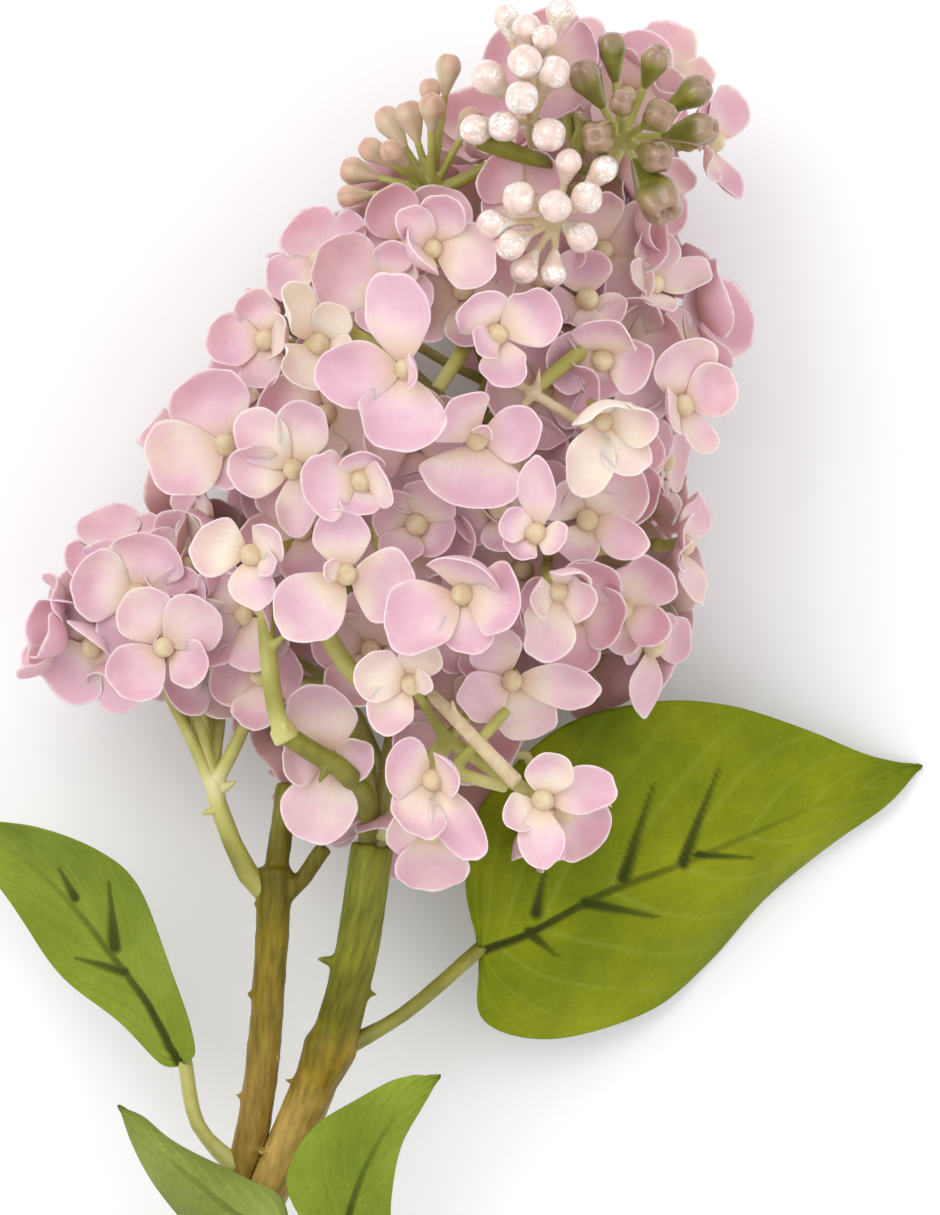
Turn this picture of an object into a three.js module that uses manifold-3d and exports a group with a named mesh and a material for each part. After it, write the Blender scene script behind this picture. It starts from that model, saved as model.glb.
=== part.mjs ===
// A cut flower spray lying on its back: a cone of four-petalled florets on a moulded stem,
// a small side cluster, sprays of closed buds at the top and four heart-shaped leaves.
// Millimetres, +Z up. The stem runs along +Y to the head, and the flowers that show face +Z.
import * as THREE from "three";
import { mergeVertices } from "three/addons/utils/BufferGeometryUtils.js";
import Module from "manifold-3d";

// ---- Driving dimensions -------------------------------------------------------------
const headScale = 1; // size of the head, the side cluster and the buds, over the places listed below
const headHeight = 46; // height of the head's axis over the surface, at its middle
const stemLength = 196; // from the head stem's mouth to the cut end, along Y
const stemRadius = 4.6; // main stem, at the cut end
const headStemRadius = 4.2;
const sideStemRadius = 3.3;
const axisRadius = 2.4; // core stalk of the head
const plugLength = 11; // depth of the head stem's bore, which the core stalk plugs into
const pedicelRadius = 1.1; // thin stalk of one floret
const beadRadius = 2.3;
const petalScale = 1; // length of a petal over the lengths in the list below
const shoulderShare = 0.72; // where a petal is widest, along its length
const valleyReach = 1.2; // how far two petals are one piece, out from the bead
const petalThickness = 1;
const neckLength = 6.5; // from the petals back to the floret's plug
const collarDepth = 2.2; // from the petals back to where the neck is thickest
const budScale = 1; // size of a bud over the sizes in the list below
const leafThickness = 1;
const leafScale = 1; // size of a leaf over the places below, about the end of its petiole
const petioleRadius = 1.5;
const fit = 0.3; // clearance between pieces that plug into each other
const skew = 0.1; // added where a facet of one piece can stand proud of its neighbour's curve

// Longer petals and fatter buds push the florets and buds apart.
const spread = headScale * Math.max(1, petalScale, budScale);
const listedHeight = 46; // the head's height that the places below are listed at
const levelFrom = -40; // from here to the tip the spray lies level, and behind it slopes to the cut end

const wasm = await Module();
wasm.setup();

const vec = (p) => new THREE.Vector3(...p);
const radians = THREE.MathUtils.degToRad;

// ---- Places -------------------------------------------------------------------------
// A listed place, raised with the head: fully from levelFrom on, and not at all at the cut end.
function raised([x, y, z, ...radius]) {
  const share = THREE.MathUtils.clamp((y + stemLength) / (levelFrom + stemLength), 0, 1);
  return [x, y, z + (headHeight - listedHeight) * share, ...radius];
}

// A listed place of the head, moved out from the head stem's mouth as the head spreads.
const headRoot = [0, 0, listedHeight + 2];
function inHead([x, y, z, ...radius]) {
  const moved = [x, y, z].map((value, i) => headRoot[i] + (value - headRoot[i]) * spread);
  return raised([...moved, ...radius]);
}

// ---- Solids -------------------------------------------------------------------------
function geometryOf(points, faces) {
  const geometry = new THREE.BufferGeometry();
  geometry.setAttribute("position", new THREE.Float32BufferAttribute(points.flatMap((p) => p.toArray()), 3));
  geometry.setIndex(faces);
  return geometry;
}

// Closes rings of equal count, with one point at each end, into one skin.
function skin(front, rings, back) {
  const count = rings[0].length;
  const points = [front, ...rings.flat(), back];
  const last = points.length - 1;
  const faces = [];
  for (let k = 0; k < count; k += 1) {
    const next = (k + 1) % count;
    faces.push(0, 1 + k, 1 + next);
    for (let r = 0; r + 1 < rings.length; r += 1) {
      const a = 1 + r * count;
      const b = a + count;
      faces.push(a + k, b + k, b + next);
      faces.push(a + k, b + next, a + next);
    }
    const end = 1 + (rings.length - 1) * count;
    faces.push(end + k, last, end + next);
  }
  return geometryOf(points, faces);
}

// A round limb through the points, each [x, y, z, radius], as one closed body.
function limb(points, sides, steps) {
  const route = new THREE.CatmullRomCurve3(points.map(([x, y, z]) => new THREE.Vector3(x, y, z)));
  const count = steps ?? (points.length - 1) * 2;
  const rings = [];
  let side = null;
  for (let i = 0; i <= count; i += 1) {
    const t = i / count;
    const centre = route.getPoint(t);
    const ahead = route.getTangent(t);
    side ??= new THREE.Vector3(1, 0.01, 0.3).cross(ahead).normalize();
    side = side.clone().addScaledVector(ahead, -side.dot(ahead)).normalize();
    const up = ahead.clone().cross(side);
    const at = t * (points.length - 1);
    const i0 = Math.min(Math.floor(at), points.length - 2);
    const radius = THREE.MathUtils.lerp(points[i0][3], points[i0 + 1][3], at - i0);
    rings.push(
      Array.from({ length: sides }, (_, k) => {
        const a = (k / sides) * 2 * Math.PI;
        return centre
          .clone()
          .addScaledVector(side, -radius * Math.cos(a))
          .addScaledVector(up, radius * Math.sin(a));
      }),
    );
  }
  return skin(route.getPoint(0), rings, route.getPoint(1));
}

function solidOf(geometry) {
  const bare = geometry.clone();
  bare.deleteAttribute("normal");
  bare.deleteAttribute("uv");
  const merged = mergeVertices(bare, 1e-4);
  return new wasm.Manifold(
    new wasm.Mesh({
      numProp: 3,
      vertProperties: merged.getAttribute("position").array,
      triVerts: new Uint32Array(merged.index.array),
    }),
  );
}

// The pieces as one body, cut back from the cutter where there is one.
function joined(pieces, cutter) {
  const whole = pieces.map(solidOf).reduce((sum, solid) => sum.add(solid));
  const mesh = (cutter ? whole.subtract(solidOf(cutter)) : whole).getMesh();
  const geometry = new THREE.BufferGeometry();
  geometry.setAttribute("position", new THREE.BufferAttribute(mesh.vertProperties, 3));
  geometry.setIndex(new THREE.BufferAttribute(mesh.triVerts, 1));
  return geometry;
}

// ---- Florets ------------------------------------------------------------------------
// Right, up and forward of a floret: forward is where it faces, up is nearest to +Y.
function floretFrame(facing) {
  const forward = vec(facing).normalize();
  const hint = Math.abs(forward.y) > 0.95 ? new THREE.Vector3(0, 0, -1) : new THREE.Vector3(0, 1, 0);
  const right = hint.cross(forward).normalize();
  const up = forward.clone().cross(right);
  return { right, up, forward };
}

// Four petals round a bead. A petal is [angle, length, pitch, width]: the angle runs round the
// floret from its right, and a pitch lifts the petal forward out of the floret's plane.
// Every column of points stays in its own half-plane through the floret's axis.
function floret({ at, facing, petals }) {
  const { right, up, forward } = floretFrame(facing);
  const centre = vec(inHead(at));
  const place = (angle, reach, rise) =>
    centre
      .clone()
      .addScaledVector(right, reach * Math.cos(angle))
      .addScaledVector(up, reach * Math.sin(angle))
      .addScaledVector(forward, rise);
  const sorted = petals
    .map(([angle, length, pitch, width]) => ({
      angle: radians(angle),
      length: length * petalScale * headScale,
      pitch: radians(pitch),
      width: width * petalScale * headScale,
    }))
    .sort((a, b) => a.angle - b.angle);
  const columns = sorted.flatMap((petal, i) => {
    const next = sorted[(i + 1) % sorted.length];
    const before = sorted[(i + sorted.length - 1) % sorted.length];
    const turn = (from, to) => (to - from + 4 * Math.PI) % (2 * Math.PI);
    const gapAfter = turn(petal.angle, next.angle) / 2;
    const gapBefore = turn(before.angle, petal.angle) / 2;
    const along = (length) => [
      beadRadius + (length - beadRadius) * Math.cos(petal.pitch),
      (length - beadRadius) * Math.sin(petal.pitch),
    ];
    const shoulder = (direction, gap) => {
      const [reach, rise] = along(petal.length * shoulderShare);
      const offset = Math.min(Math.atan2(petal.width / 2, reach), gap * 0.8);
      const angle = petal.angle + direction * offset;
      return { angle, rim: [reach / Math.cos(offset), rise], pitch: petal.pitch };
    };
    const tip = { angle: petal.angle, rim: along(petal.length), pitch: petal.pitch };
    const valley = { angle: petal.angle + gapAfter, rim: [beadRadius + valleyReach, 0.4], pitch: 0.2 };
    return [shoulder(-1, gapBefore), tip, shoulder(1, gapAfter), valley];
  });
  const underside = ({ rim: [reach, rise], pitch }) => [
    reach + petalThickness * Math.sin(pitch),
    rise - petalThickness * Math.cos(pitch),
  ];
  return skin(
    place(0, 0, beadRadius * 1.3),
    [
      columns.map((c) => place(c.angle, beadRadius * 0.95, beadRadius * 0.5)),
      columns.map((c) => place(c.angle, ...c.rim)),
      columns.map((c) => place(c.angle, ...underside(c))),
      columns.map((c) => place(c.angle, pedicelRadius * 1.4, -collarDepth)),
    ],
    place(0, 0, -neckLength),
  );
}

// ---- The head -----------------------------------------------------------------------
// Each branch leaves the head's axis and carries its florets on thin pedicels. The florets
// listed as moulded are one piece with their branch, and the others plug onto it.
// Places are chosen by eye, in millimetres from the head stem's mouth.
const branches = [
  {
    name: "stalk_lower_front",
    from: 0.1,
    hub: [15, 22, 64],
    florets: [
      { at: [8, 33, 86], facing: [0, 0, 1],
        petals: [[72, 10, 10, 10], [163, 11.5, 10, 9], [228, 11, 10, 9], [20, 11, 65, 6]] },
      { at: [12, 14, 82], facing: [0.15, 0, 1],
        petals: [[160, 12, 25, 11], [242, 14, 25, 12], [295, 18, 15, 8], [25, 10, 70, 12]] },
      { at: [34, 10, 82], facing: [0.1, 0, 1],
        petals: [[80, 11, 30, 8], [14, 14.5, 10, 8], [265, 14.5, 20, 8], [205, 10, 25, 7]] },
      { at: [28, 34, 72], facing: [0, -0.2, 1],
        petals: [[120, 12, 15, 9], [357, 17, 10, 7], [205, 12, 15, 8], [290, 13, 0, 12]] },
    ],
    moulded: [
      { at: [12, 4, 62], facing: [0.1, -0.5, 0.8],
        petals: [[270, 12, 10, 12], [180, 9, 10, 9], [0, 9, 10, 9], [90, 8, 10, 8]] },
      { at: [38, 8, 60], facing: [0.5, -0.3, 0.7],
        petals: [[320, 11, 10, 11], [230, 10, 10, 9], [50, 10, 10, 9], [140, 9, 10, 9]] },
    ],
  },
  {
    name: "stalk_lower_left",
    from: 0.14,
    hub: [-6, 32, 56],
    florets: [
      { at: [-9, 18, 64], facing: [-0.1, -0.1, 1],
        petals: [[93, 15, 0, 11], [262, 17, 10, 12], [180, 9, 20, 8], [0, 9, 0, 8]] },
    ],
    moulded: [
      { at: [-22, 35, 58], facing: [-0.4, 0, 0.9],
        petals: [[90, 11, 5, 10], [180, 11, 5, 10], [270, 11, 5, 9], [0, 9, 5, 9]] },
      { at: [-24, 46, 36], facing: [-0.9, -0.1, 0.1],
        petals: [[90, 12, 10, 11], [180, 10, 10, 10], [270, 12, 10, 11], [0, 10, 10, 10]] },
      { at: [-12, 22, 40], facing: [-0.8, -0.5, 0],
        petals: [[90, 10, 10, 10], [180, 10, 10, 10], [270, 10, 10, 10], [0, 10, 10, 10]] },
    ],
  },
  {
    name: "stalk_left",
    from: 0.36,
    hub: [-8, 64, 60],
    florets: [
      { at: [-24, 59, 84], facing: [-0.1, 0, 1],
        petals: [[165, 12, 10, 10], [35, 10, 35, 9], [270, 11, 15, 8], [330, 8, 45, 6]] },
      { at: [-5, 55, 85], facing: [0, 0, 1],
        petals: [[222, 18, 12, 13], [345, 14.5, 5, 13], [98, 13, 10, 9], [165, 7, 40, 7]] },
      { at: [-15.6, 76, 78], facing: [-0.1, 0, 1],
        petals: [[182, 13.5, 15, 12], [135, 15, 5, 10], [75, 14, 10, 9], [275, 13, 5, 7]] },
      { at: [-29, 81, 64], facing: [-0.4, 0.1, 0.9],
        petals: [[110, 15, 10, 14], [205, 16, 10, 14], [20, 9, 0, 8], [290, 9, 0, 8]] },
    ],
    moulded: [
      { at: [-34, 76, 44], facing: [-0.9, 0.1, 0.2],
        petals: [[90, 12, 10, 11], [180, 11, 10, 10], [270, 12, 10, 11], [0, 11, 10, 10]] },
    ],
  },
  {
    name: "stalk_middle",
    from: 0.42,
    hub: [14, 64, 64],
    florets: [
      { at: [18, 51, 94], facing: [0, 0.1, 1],
        petals: [[75, 11, 45, 20], [208, 18, 10, 13], [275, 12, 15, 17], [350, 15, 30, 13]] },
      { at: [-2, 74, 88], facing: [0, -0.2, 1],
        petals: [[185, 12, 15, 14], [10, 12, 55, 8], [90, 8, 40, 9], [265, 7, 20, 8]] },
      { at: [21, 82, 85], facing: [0, 0, 1],
        petals: [[130, 13, 40, 13], [5, 13, 10, 11], [262, 14, 15, 17], [60, 10, 75, 12]] },
    ],
    moulded: [
      { at: [9, 65, 76], facing: [-0.1, 0, 1],
        petals: [[60, 9, 10, 9], [150, 9, 10, 9], [240, 9, 10, 8], [330, 8, 10, 8]] },
      { at: [25, 68, 74], facing: [0.1, 0.1, 1],
        petals: [[20, 9, 10, 9], [110, 10, 10, 10], [200, 9, 10, 9], [290, 9, 10, 9]] },
    ],
  },
  {
    name: "stalk_right",
    from: 0.34,
    hub: [35, 57, 58],
    florets: [
      { at: [37, 52, 84], facing: [0.2, -0.3, 0.9],
        petals: [[252, 14, 15, 11], [75, 11, 45, 7], [355, 9, 40, 10], [190, 8, 30, 8]] },
      { at: [33, 63, 88], facing: [-0.2, 0.2, 0.95],
        petals: [[85, 16, 35, 6], [160, 8, 30, 6], [230, 7, 20, 6], [340, 8, 30, 6]] },
      { at: [43, 66, 72], facing: [0.1, -0.1, 1],
        petals: [[333, 15, 40, 7], [45, 14, -5, 13], [130, 9, 0, 9], [250, 8, 0, 8]] },
      { at: [62, 61, 50], facing: [0.9, 0, 0.4],
        petals: [[60, 12, 10, 10], [270, 12, 10, 9], [150, 10, 20, 9], [200, 9, 20, 9]] },
      { at: [56, 41, 46], facing: [0.6, -0.4, 0.6],
        petals: [[265, 14, 10, 7], [20, 9, 10, 9], [110, 8, 10, 8], [180, 8, 10, 8]] },
    ],
    moulded: [
      { at: [50, 48, 62], facing: [0.3, -0.1, 0.9],
        petals: [[60, 12, 5, 12], [330, 11, 30, 8], [200, 10, 0, 9], [270, 9, 0, 9]] },
    ],
  },
  {
    name: "stalk_upper_right",
    from: 0.56,
    hub: [44, 92, 56],
    florets: [
      { at: [46, 86, 84], facing: [0.2, -0.3, 0.95],
        petals: [[110, 9, 55, 13], [10, 13, 35, 9], [250, 15, 20, 9], [305, 13, 25, 9]] },
      { at: [46, 98, 72], facing: [0.1, -0.1, 0.97],
        petals: [[85, 13, 45, 17], [265, 7, 0, 9], [185, 11, 0, 10], [350, 10, 0, 10]] },
      { at: [62, 89, 64], facing: [0.4, 0, 0.9],
        petals: [[98, 13.5, 15, 11], [25, 11, 10, 10], [300, 11.5, 5, 5], [195, 8, 35, 8]] },
      { at: [64, 99, 46], facing: [0.5, 0.2, 0.5],
        petals: [[45, 17, 0, 15], [130, 11, 10, 10], [310, 9, 10, 9], [225, 8, 0, 8]] },
      { at: [56, 113, 56], facing: [0.5, 0.3, 0.7],
        petals: [[80, 12, 10, 10], [10, 13, 10, 6], [170, 8, 30, 6], [260, 8, 20, 7]] },
    ],
    moulded: [
      { at: [58, 78, 44], facing: [0.9, -0.1, 0.2],
        petals: [[90, 12, 10, 11], [180, 11, 10, 10], [270, 12, 10, 11], [0, 11, 10, 10]] },
    ],
  },
  {
    name: "stalk_upper_left",
    from: 0.6,
    hub: [2, 100, 60],
    florets: [
      { at: [-21, 102, 62], facing: [-0.5, 0.1, 0.85],
        petals: [[185, 11.5, 15, 9], [105, 10.5, 15, 8], [0, 9, 30, 8], [275, 10, 10, 9]] },
      { at: [-11, 101, 78], facing: [0.3, 0.1, 0.95],
        petals: [[128, 16, 25, 7], [235, 10, 15, 11], [325, 8, 40, 7], [60, 9, 20, 7]] },
      { at: [6.6, 96, 92], facing: [0, 0, 1],
        petals: [[96, 20, 12, 11], [184, 18, 8, 12], [263, 17, 12, 15], [0, 9, 70, 13]] },
    ],
    moulded: [
      { at: [-10, 118, 50], facing: [-0.5, 0.5, 0.6],
        petals: [[40, 12, 5, 11], [130, 12, 5, 11], [220, 12, 5, 11], [310, 10, 5, 10]] },
      { at: [-22, 100, 38], facing: [-0.9, 0.2, 0],
        petals: [[90, 12, 10, 11], [180, 11, 10, 10], [270, 12, 10, 11], [0, 11, 10, 10]] },
    ],
  },
  {
    name: "stalk_upper_front",
    from: 0.72,
    hub: [24, 114, 60],
    florets: [
      { at: [12, 120, 82], facing: [0, 0.15, 1],
        petals: [[72, 13, 35, 10], [348, 13.5, 15, 11], [215, 9, 60, 12], [128, 13, 45, 7]] },
      { at: [4, 112, 70], facing: [-0.3, 0, 1],
        petals: [[160, 17, 20, 14], [250, 9, 10, 9], [70, 10, 10, 9], [340, 9, 0, 8]] },
      { at: [25, 103, 84], facing: [0, -0.1, 1],
        petals: [[125, 10, 20, 10], [28, 14, 12, 11], [282, 12, 25, 9], [215, 10, 60, 7]] },
    ],
    moulded: [
      { at: [43, 110, 66], facing: [0.1, 0.2, 0.9],
        petals: [[95, 10, 0, 9], [200, 8, 0, 8], [330, 8, 0, 8], [270, 7, 0, 7]] },
      { at: [30, 130, 68], facing: [0, 0.2, 0.9],
        petals: [[50, 10, 10, 9], [140, 10, 10, 9], [230, 9, 10, 9], [320, 9, 10, 8]] },
    ],
  },
  {
    name: "stalk_tip",
    from: 0.94,
    hub: [43, 145, 50],
    florets: [
      { at: [38, 156, 48], facing: [-0.1, 0.7, 0.6],
        petals: [[60, 12, 20, 9], [150, 11, 10, 10], [240, 9, 10, 9], [330, 9, 10, 8]] },
      { at: [59, 155, 44], facing: [0.4, 0.7, 0.5],
        petals: [[60, 12, 10, 10], [140, 13, 10, 8], [230, 9, 10, 9], [330, 9, 10, 8]] },
      { at: [68, 142, 42], facing: [0.8, 0.1, 0.5],
        petals: [[60, 12, 10, 10], [150, 9, 10, 9], [230, 9, 10, 8], [280, 12, 10, 6]] },
    ],
    moulded: [
      { at: [56, 131, 48], facing: [0.6, -0.2, 0.8],
        petals: [[60, 9, 10, 9], [150, 9, 10, 9], [230, 9, 10, 8], [320, 9, 10, 8]] },
    ],
  },
  {
    name: "stalk_back_low",
    from: 0.22,
    hub: [8, 42, 34],
    florets: [],
    moulded: [
      { at: [14, 18, 22], facing: [0.1, -0.6, -0.8],
        petals: [[30, 13, 10, 12], [120, 13, 10, 12], [210, 12, 10, 12], [300, 13, 10, 12]] },
      { at: [-6, 42, 6], facing: [-0.4, -0.1, -1],
        petals: [[10, 13, 10, 12], [100, 14, 10, 12], [190, 13, 10, 12], [280, 13, 10, 12]] },
      { at: [24, 44, 4], facing: [0.2, 0, -1],
        petals: [[40, 14, 10, 12], [130, 13, 10, 12], [220, 14, 10, 12], [310, 13, 10, 12]] },
      { at: [44, 38, 24], facing: [0.7, -0.3, -0.6],
        petals: [[20, 12, 10, 12], [110, 13, 10, 12], [200, 12, 10, 12], [290, 12, 10, 12]] },
    ],
  },
  {
    name: "stalk_back_middle",
    from: 0.5,
    hub: [18, 80, 32],
    florets: [],
    moulded: [
      { at: [-16, 70, 7], facing: [-0.5, 0, -0.9],
        petals: [[20, 13, 10, 12], [110, 13, 10, 12], [200, 13, 10, 12], [290, 14, 10, 12]] },
      { at: [12, 76, 3.5], facing: [0, 0, -1],
        petals: [[45, 14, 10, 12], [135, 14, 10, 12], [225, 14, 10, 12], [315, 14, 10, 12]] },
      { at: [44, 72, 6.6], facing: [0.5, 0, -0.9],
        petals: [[30, 13, 10, 12], [120, 13, 10, 12], [210, 13, 10, 12], [300, 13, 10, 12]] },
      { at: [-4, 98, 12], facing: [-0.3, 0.1, -1],
        petals: [[10, 13, 10, 12], [100, 13, 10, 12], [190, 13, 10, 12], [280, 13, 10, 12]] },
    ],
  },
  {
    name: "stalk_back_top",
    from: 0.78,
    hub: [34, 116, 34],
    florets: [],
    moulded: [
      { at: [28, 104, 4], facing: [0.1, 0, -1],
        petals: [[30, 13, 10, 12], [120, 13, 10, 12], [210, 13, 10, 12], [300, 13, 10, 12]] },
      { at: [52, 104, 26], facing: [0.7, 0, -0.7],
        petals: [[20, 12, 10, 12], [110, 12, 10, 12], [200, 12, 10, 12], [290, 12, 10, 12]] },
      { at: [16, 126, 26], facing: [-0.4, 0.3, -0.8],
        petals: [[20, 12, 10, 12], [110, 12, 10, 12], [200, 12, 10, 12], [290, 12, 10, 12]] },
      { at: [44, 134, 26], facing: [0.2, 0.3, -0.9],
        petals: [[40, 12, 10, 11], [130, 12, 10, 11], [220, 12, 10, 11], [310, 12, 10, 11]] },
    ],
  },
];

// The side cluster, on the thinner arm of the stem.
const sideCluster = {
  name: "side_stalk",
  root: [-25, -5, 46],
  route: [[-28, 1, 46.5], [-31, 9, 47], [-32, 14, 47.5]],
  florets: [
    { at: [-62, 44.5, 41], facing: [-0.95, 0.1, 0.15],
      petals: [[60, 11, 15, 11], [150, 11, 10, 10], [240, 13, 15, 11], [330, 10, 15, 10]] },
    { at: [-51.5, 58.5, 41], facing: [-0.3, 0.6, 0.7],
      petals: [[110, 12, 10, 11], [30, 12, 10, 10], [200, 10, 10, 9], [290, 9, 10, 9]] },
    { at: [-41.6, 40.6, 60], facing: [-0.1, -0.1, 1],
      petals: [[120, 13, 10, 10], [42, 13, 10, 11], [222, 12.5, 10, 10], [330, 11, 20, 8]] },
    { at: [-37, 56, 50], facing: [-0.1, 0.6, 0.8],
      petals: [[60, 11, 10, 10], [150, 11, 10, 10], [240, 10, 10, 10], [330, 10, 10, 10]] },
  ],
  moulded: [
    { at: [-27, 46, 50], facing: [0.1, 0.2, 1],
      petals: [[90, 10, 10, 10], [190, 9, 10, 9], [270, 9, 10, 9], [10, 8, 10, 8]] },
    { at: [-46, 44, 30], facing: [-0.5, 0.1, -0.9],
      petals: [[30, 12, 10, 11], [120, 12, 10, 11], [210, 12, 10, 11], [300, 12, 10, 11]] },
  ],
};

// The core stalk starts inside the head stem's bore.
const axisRoute = new THREE.CatmullRomCurve3([
  vec(raised([-1.2, 4 - plugLength, 47.5])),
  ...[[3, 14, 48], [14, 66, 47], [30, 110, 46], [42, 144, 45]].map((p) => vec(inHead(p))),
]);

// ---- Stalks -------------------------------------------------------------------------
function neckEnd(flower, inset) {
  const { forward } = floretFrame(flower.facing);
  return vec(inHead(flower.at)).addScaledVector(forward, -(neckLength - inset));
}

// A pedicel leaves the hub, bends and meets its floret's neck from behind.
function pedicel(hub, flower, inset) {
  const { forward } = floretFrame(flower.facing);
  const end = neckEnd(flower, inset);
  const bend = end.clone().addScaledVector(forward, -0.4 * end.distanceTo(hub));
  const route = new THREE.QuadraticBezierCurve3(hub, bend, end).getPoints(3);
  const radii = [1.3, 1, 1, 1.2].map((share) => share * pedicelRadius);
  return limb(route.map((p, i) => [...p.toArray(), radii[i]]), 5, 3);
}

function stalkTree(route, florets, moulded, cutter) {
  const hub = route.at(-1);
  const trunk = route.map((p) => [...p.toArray(), pedicelRadius * 1.7]);
  const pieces = [limb(trunk, 7, trunk.length)];
  for (const flower of florets) {
    pieces.push(pedicel(hub, flower, -fit));
  }
  for (const flower of moulded) {
    pieces.push(pedicel(hub, flower, 2));
    pieces.push(floret(flower));
  }
  return joined(pieces, cutter);
}

// ---- Assembly -----------------------------------------------------------------------
const group = new THREE.Group();
const materials = {
  petal: { color: 0xe2b7bf, roughness: 0.55 },
  stalk: { color: 0xb5b564, roughness: 0.55 },
  stem: { color: 0x8a7a3e, roughness: 0.6 },
  leaf: { color: 0x7c9430, roughness: 0.75 },
  bud: { color: 0xe8cfc2, roughness: 0.4 },
};

function addNode(name, geometry, look) {
  const material = new THREE.MeshStandardMaterial({ ...materials[look], metalness: 0 });
  const mesh = new THREE.Mesh(geometry, material);
  mesh.name = name;
  group.add(mesh);
}

let floretCount = 0;
function addFlorets(florets) {
  for (const flower of florets) {
    floretCount += 1;
    addNode(`floret_${String(floretCount).padStart(2, "0")}`, floret(flower), "petal");
  }
}

const axisPoints = axisRoute.getPoints(8).map((p, i) => [...p.toArray(), axisRadius * (1 - i * 0.05)]);
const widened = (points, by) => points.map(([x, y, z, r]) => [x, y, z, r + by]);
const axisCutter = limb(widened(axisPoints, fit + skew), 8, 16);
addNode("head_axis", limb(axisPoints, 8, 16), "stalk");
for (const { name, from, hub, florets, moulded } of branches) {
  const root = axisRoute.getPoint(from);
  addNode(name, stalkTree([root, vec(inHead(hub))], florets, moulded, axisCutter), "stalk");
  addFlorets(florets);
}

// ---- Stems --------------------------------------------------------------------------
// The main stem lies on the surface at its cut end. Its length is taken up behind its forks.
const forkEnd = -118;
const mainStemPoints = [
  raised([-31, -86, 30, stemRadius * 1.1]),
  raised([-35, forkEnd, 22, stemRadius * 1.02]),
  raised([-39, forkEnd - (stemLength + forkEnd) * 0.487, 13, stemRadius]),
  [-43, -stemLength, stemRadius - 0.7, stemRadius],
];
addNode("main_stem", limb(mainStemPoints, 12, 9), "stem");

const headStemPoints = [
  [0, 1, 48, headStemRadius],
  [-3, -20, 46.5, headStemRadius],
  [-7, -36, 43.5, headStemRadius * 1.08],
  [-8.5, -40, 42.6, headStemRadius * 1.3],
  [-11, -46, 41.4, headStemRadius * 1.06],
  [-17, -60, 38, headStemRadius * 1.06],
  [-24, -74, 34, headStemRadius * 1.1],
  [-29.5, -85, 30.9, headStemRadius * 1.15],
].map(raised);
const boreRadius = axisRadius + 2 * fit;
const mouth = limb([[0.3, 3, 48.1, boreRadius], [-1.9, -plugLength, 47.3, boreRadius]].map(raised), 12, 2);
addNode("head_stem", joined([limb(headStemPoints, 12, 14)], mouth), "stem");

const sideStemPoints = [
  [-19.5, -4, 46, sideStemRadius * 1.1],
  [-20, -14, 45.4, sideStemRadius],
  [-21.4, -36, 42, sideStemRadius],
  [-23.6, -54, 38.8, sideStemRadius * 1.02],
  [-27, -68, 35.4, sideStemRadius * 1.04],
  [-34, -84, 31.5, sideStemRadius * 1.06],
].map(raised);
const middleArm = [raised([-19.8, -8, 45.7, 2.5]), inHead([-18.2, 4, 45, 2.3]), inHead([-17, 13, 44, 2.5])];
const shortArm = [raised([-19.6, -11, 45.5, 2.2]), raised([-14, -6, 46.5, 1.7]), raised([-9.5, 0.5, 48, 1.7])];
addNode(
  "side_stem",
  joined(
    [limb(sideStemPoints, 10, 8), limb(middleArm, 8, 4), limb(shortArm, 7, 4)],
    limb(widened(headStemPoints, fit + skew), 12, 14),
  ),
  "stem",
);

// The side cluster lies against the end of the side stem.
{
  const { name, root, route, florets, moulded } = sideCluster;
  const points = [raised(root), ...route.map(inHead)];
  const cutter = limb(widened(sideStemPoints, fit + skew), 10, 8);
  addNode(name, stalkTree(points.map(vec), florets, moulded, cutter), "stalk");
  addFlorets(florets);
}

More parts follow.
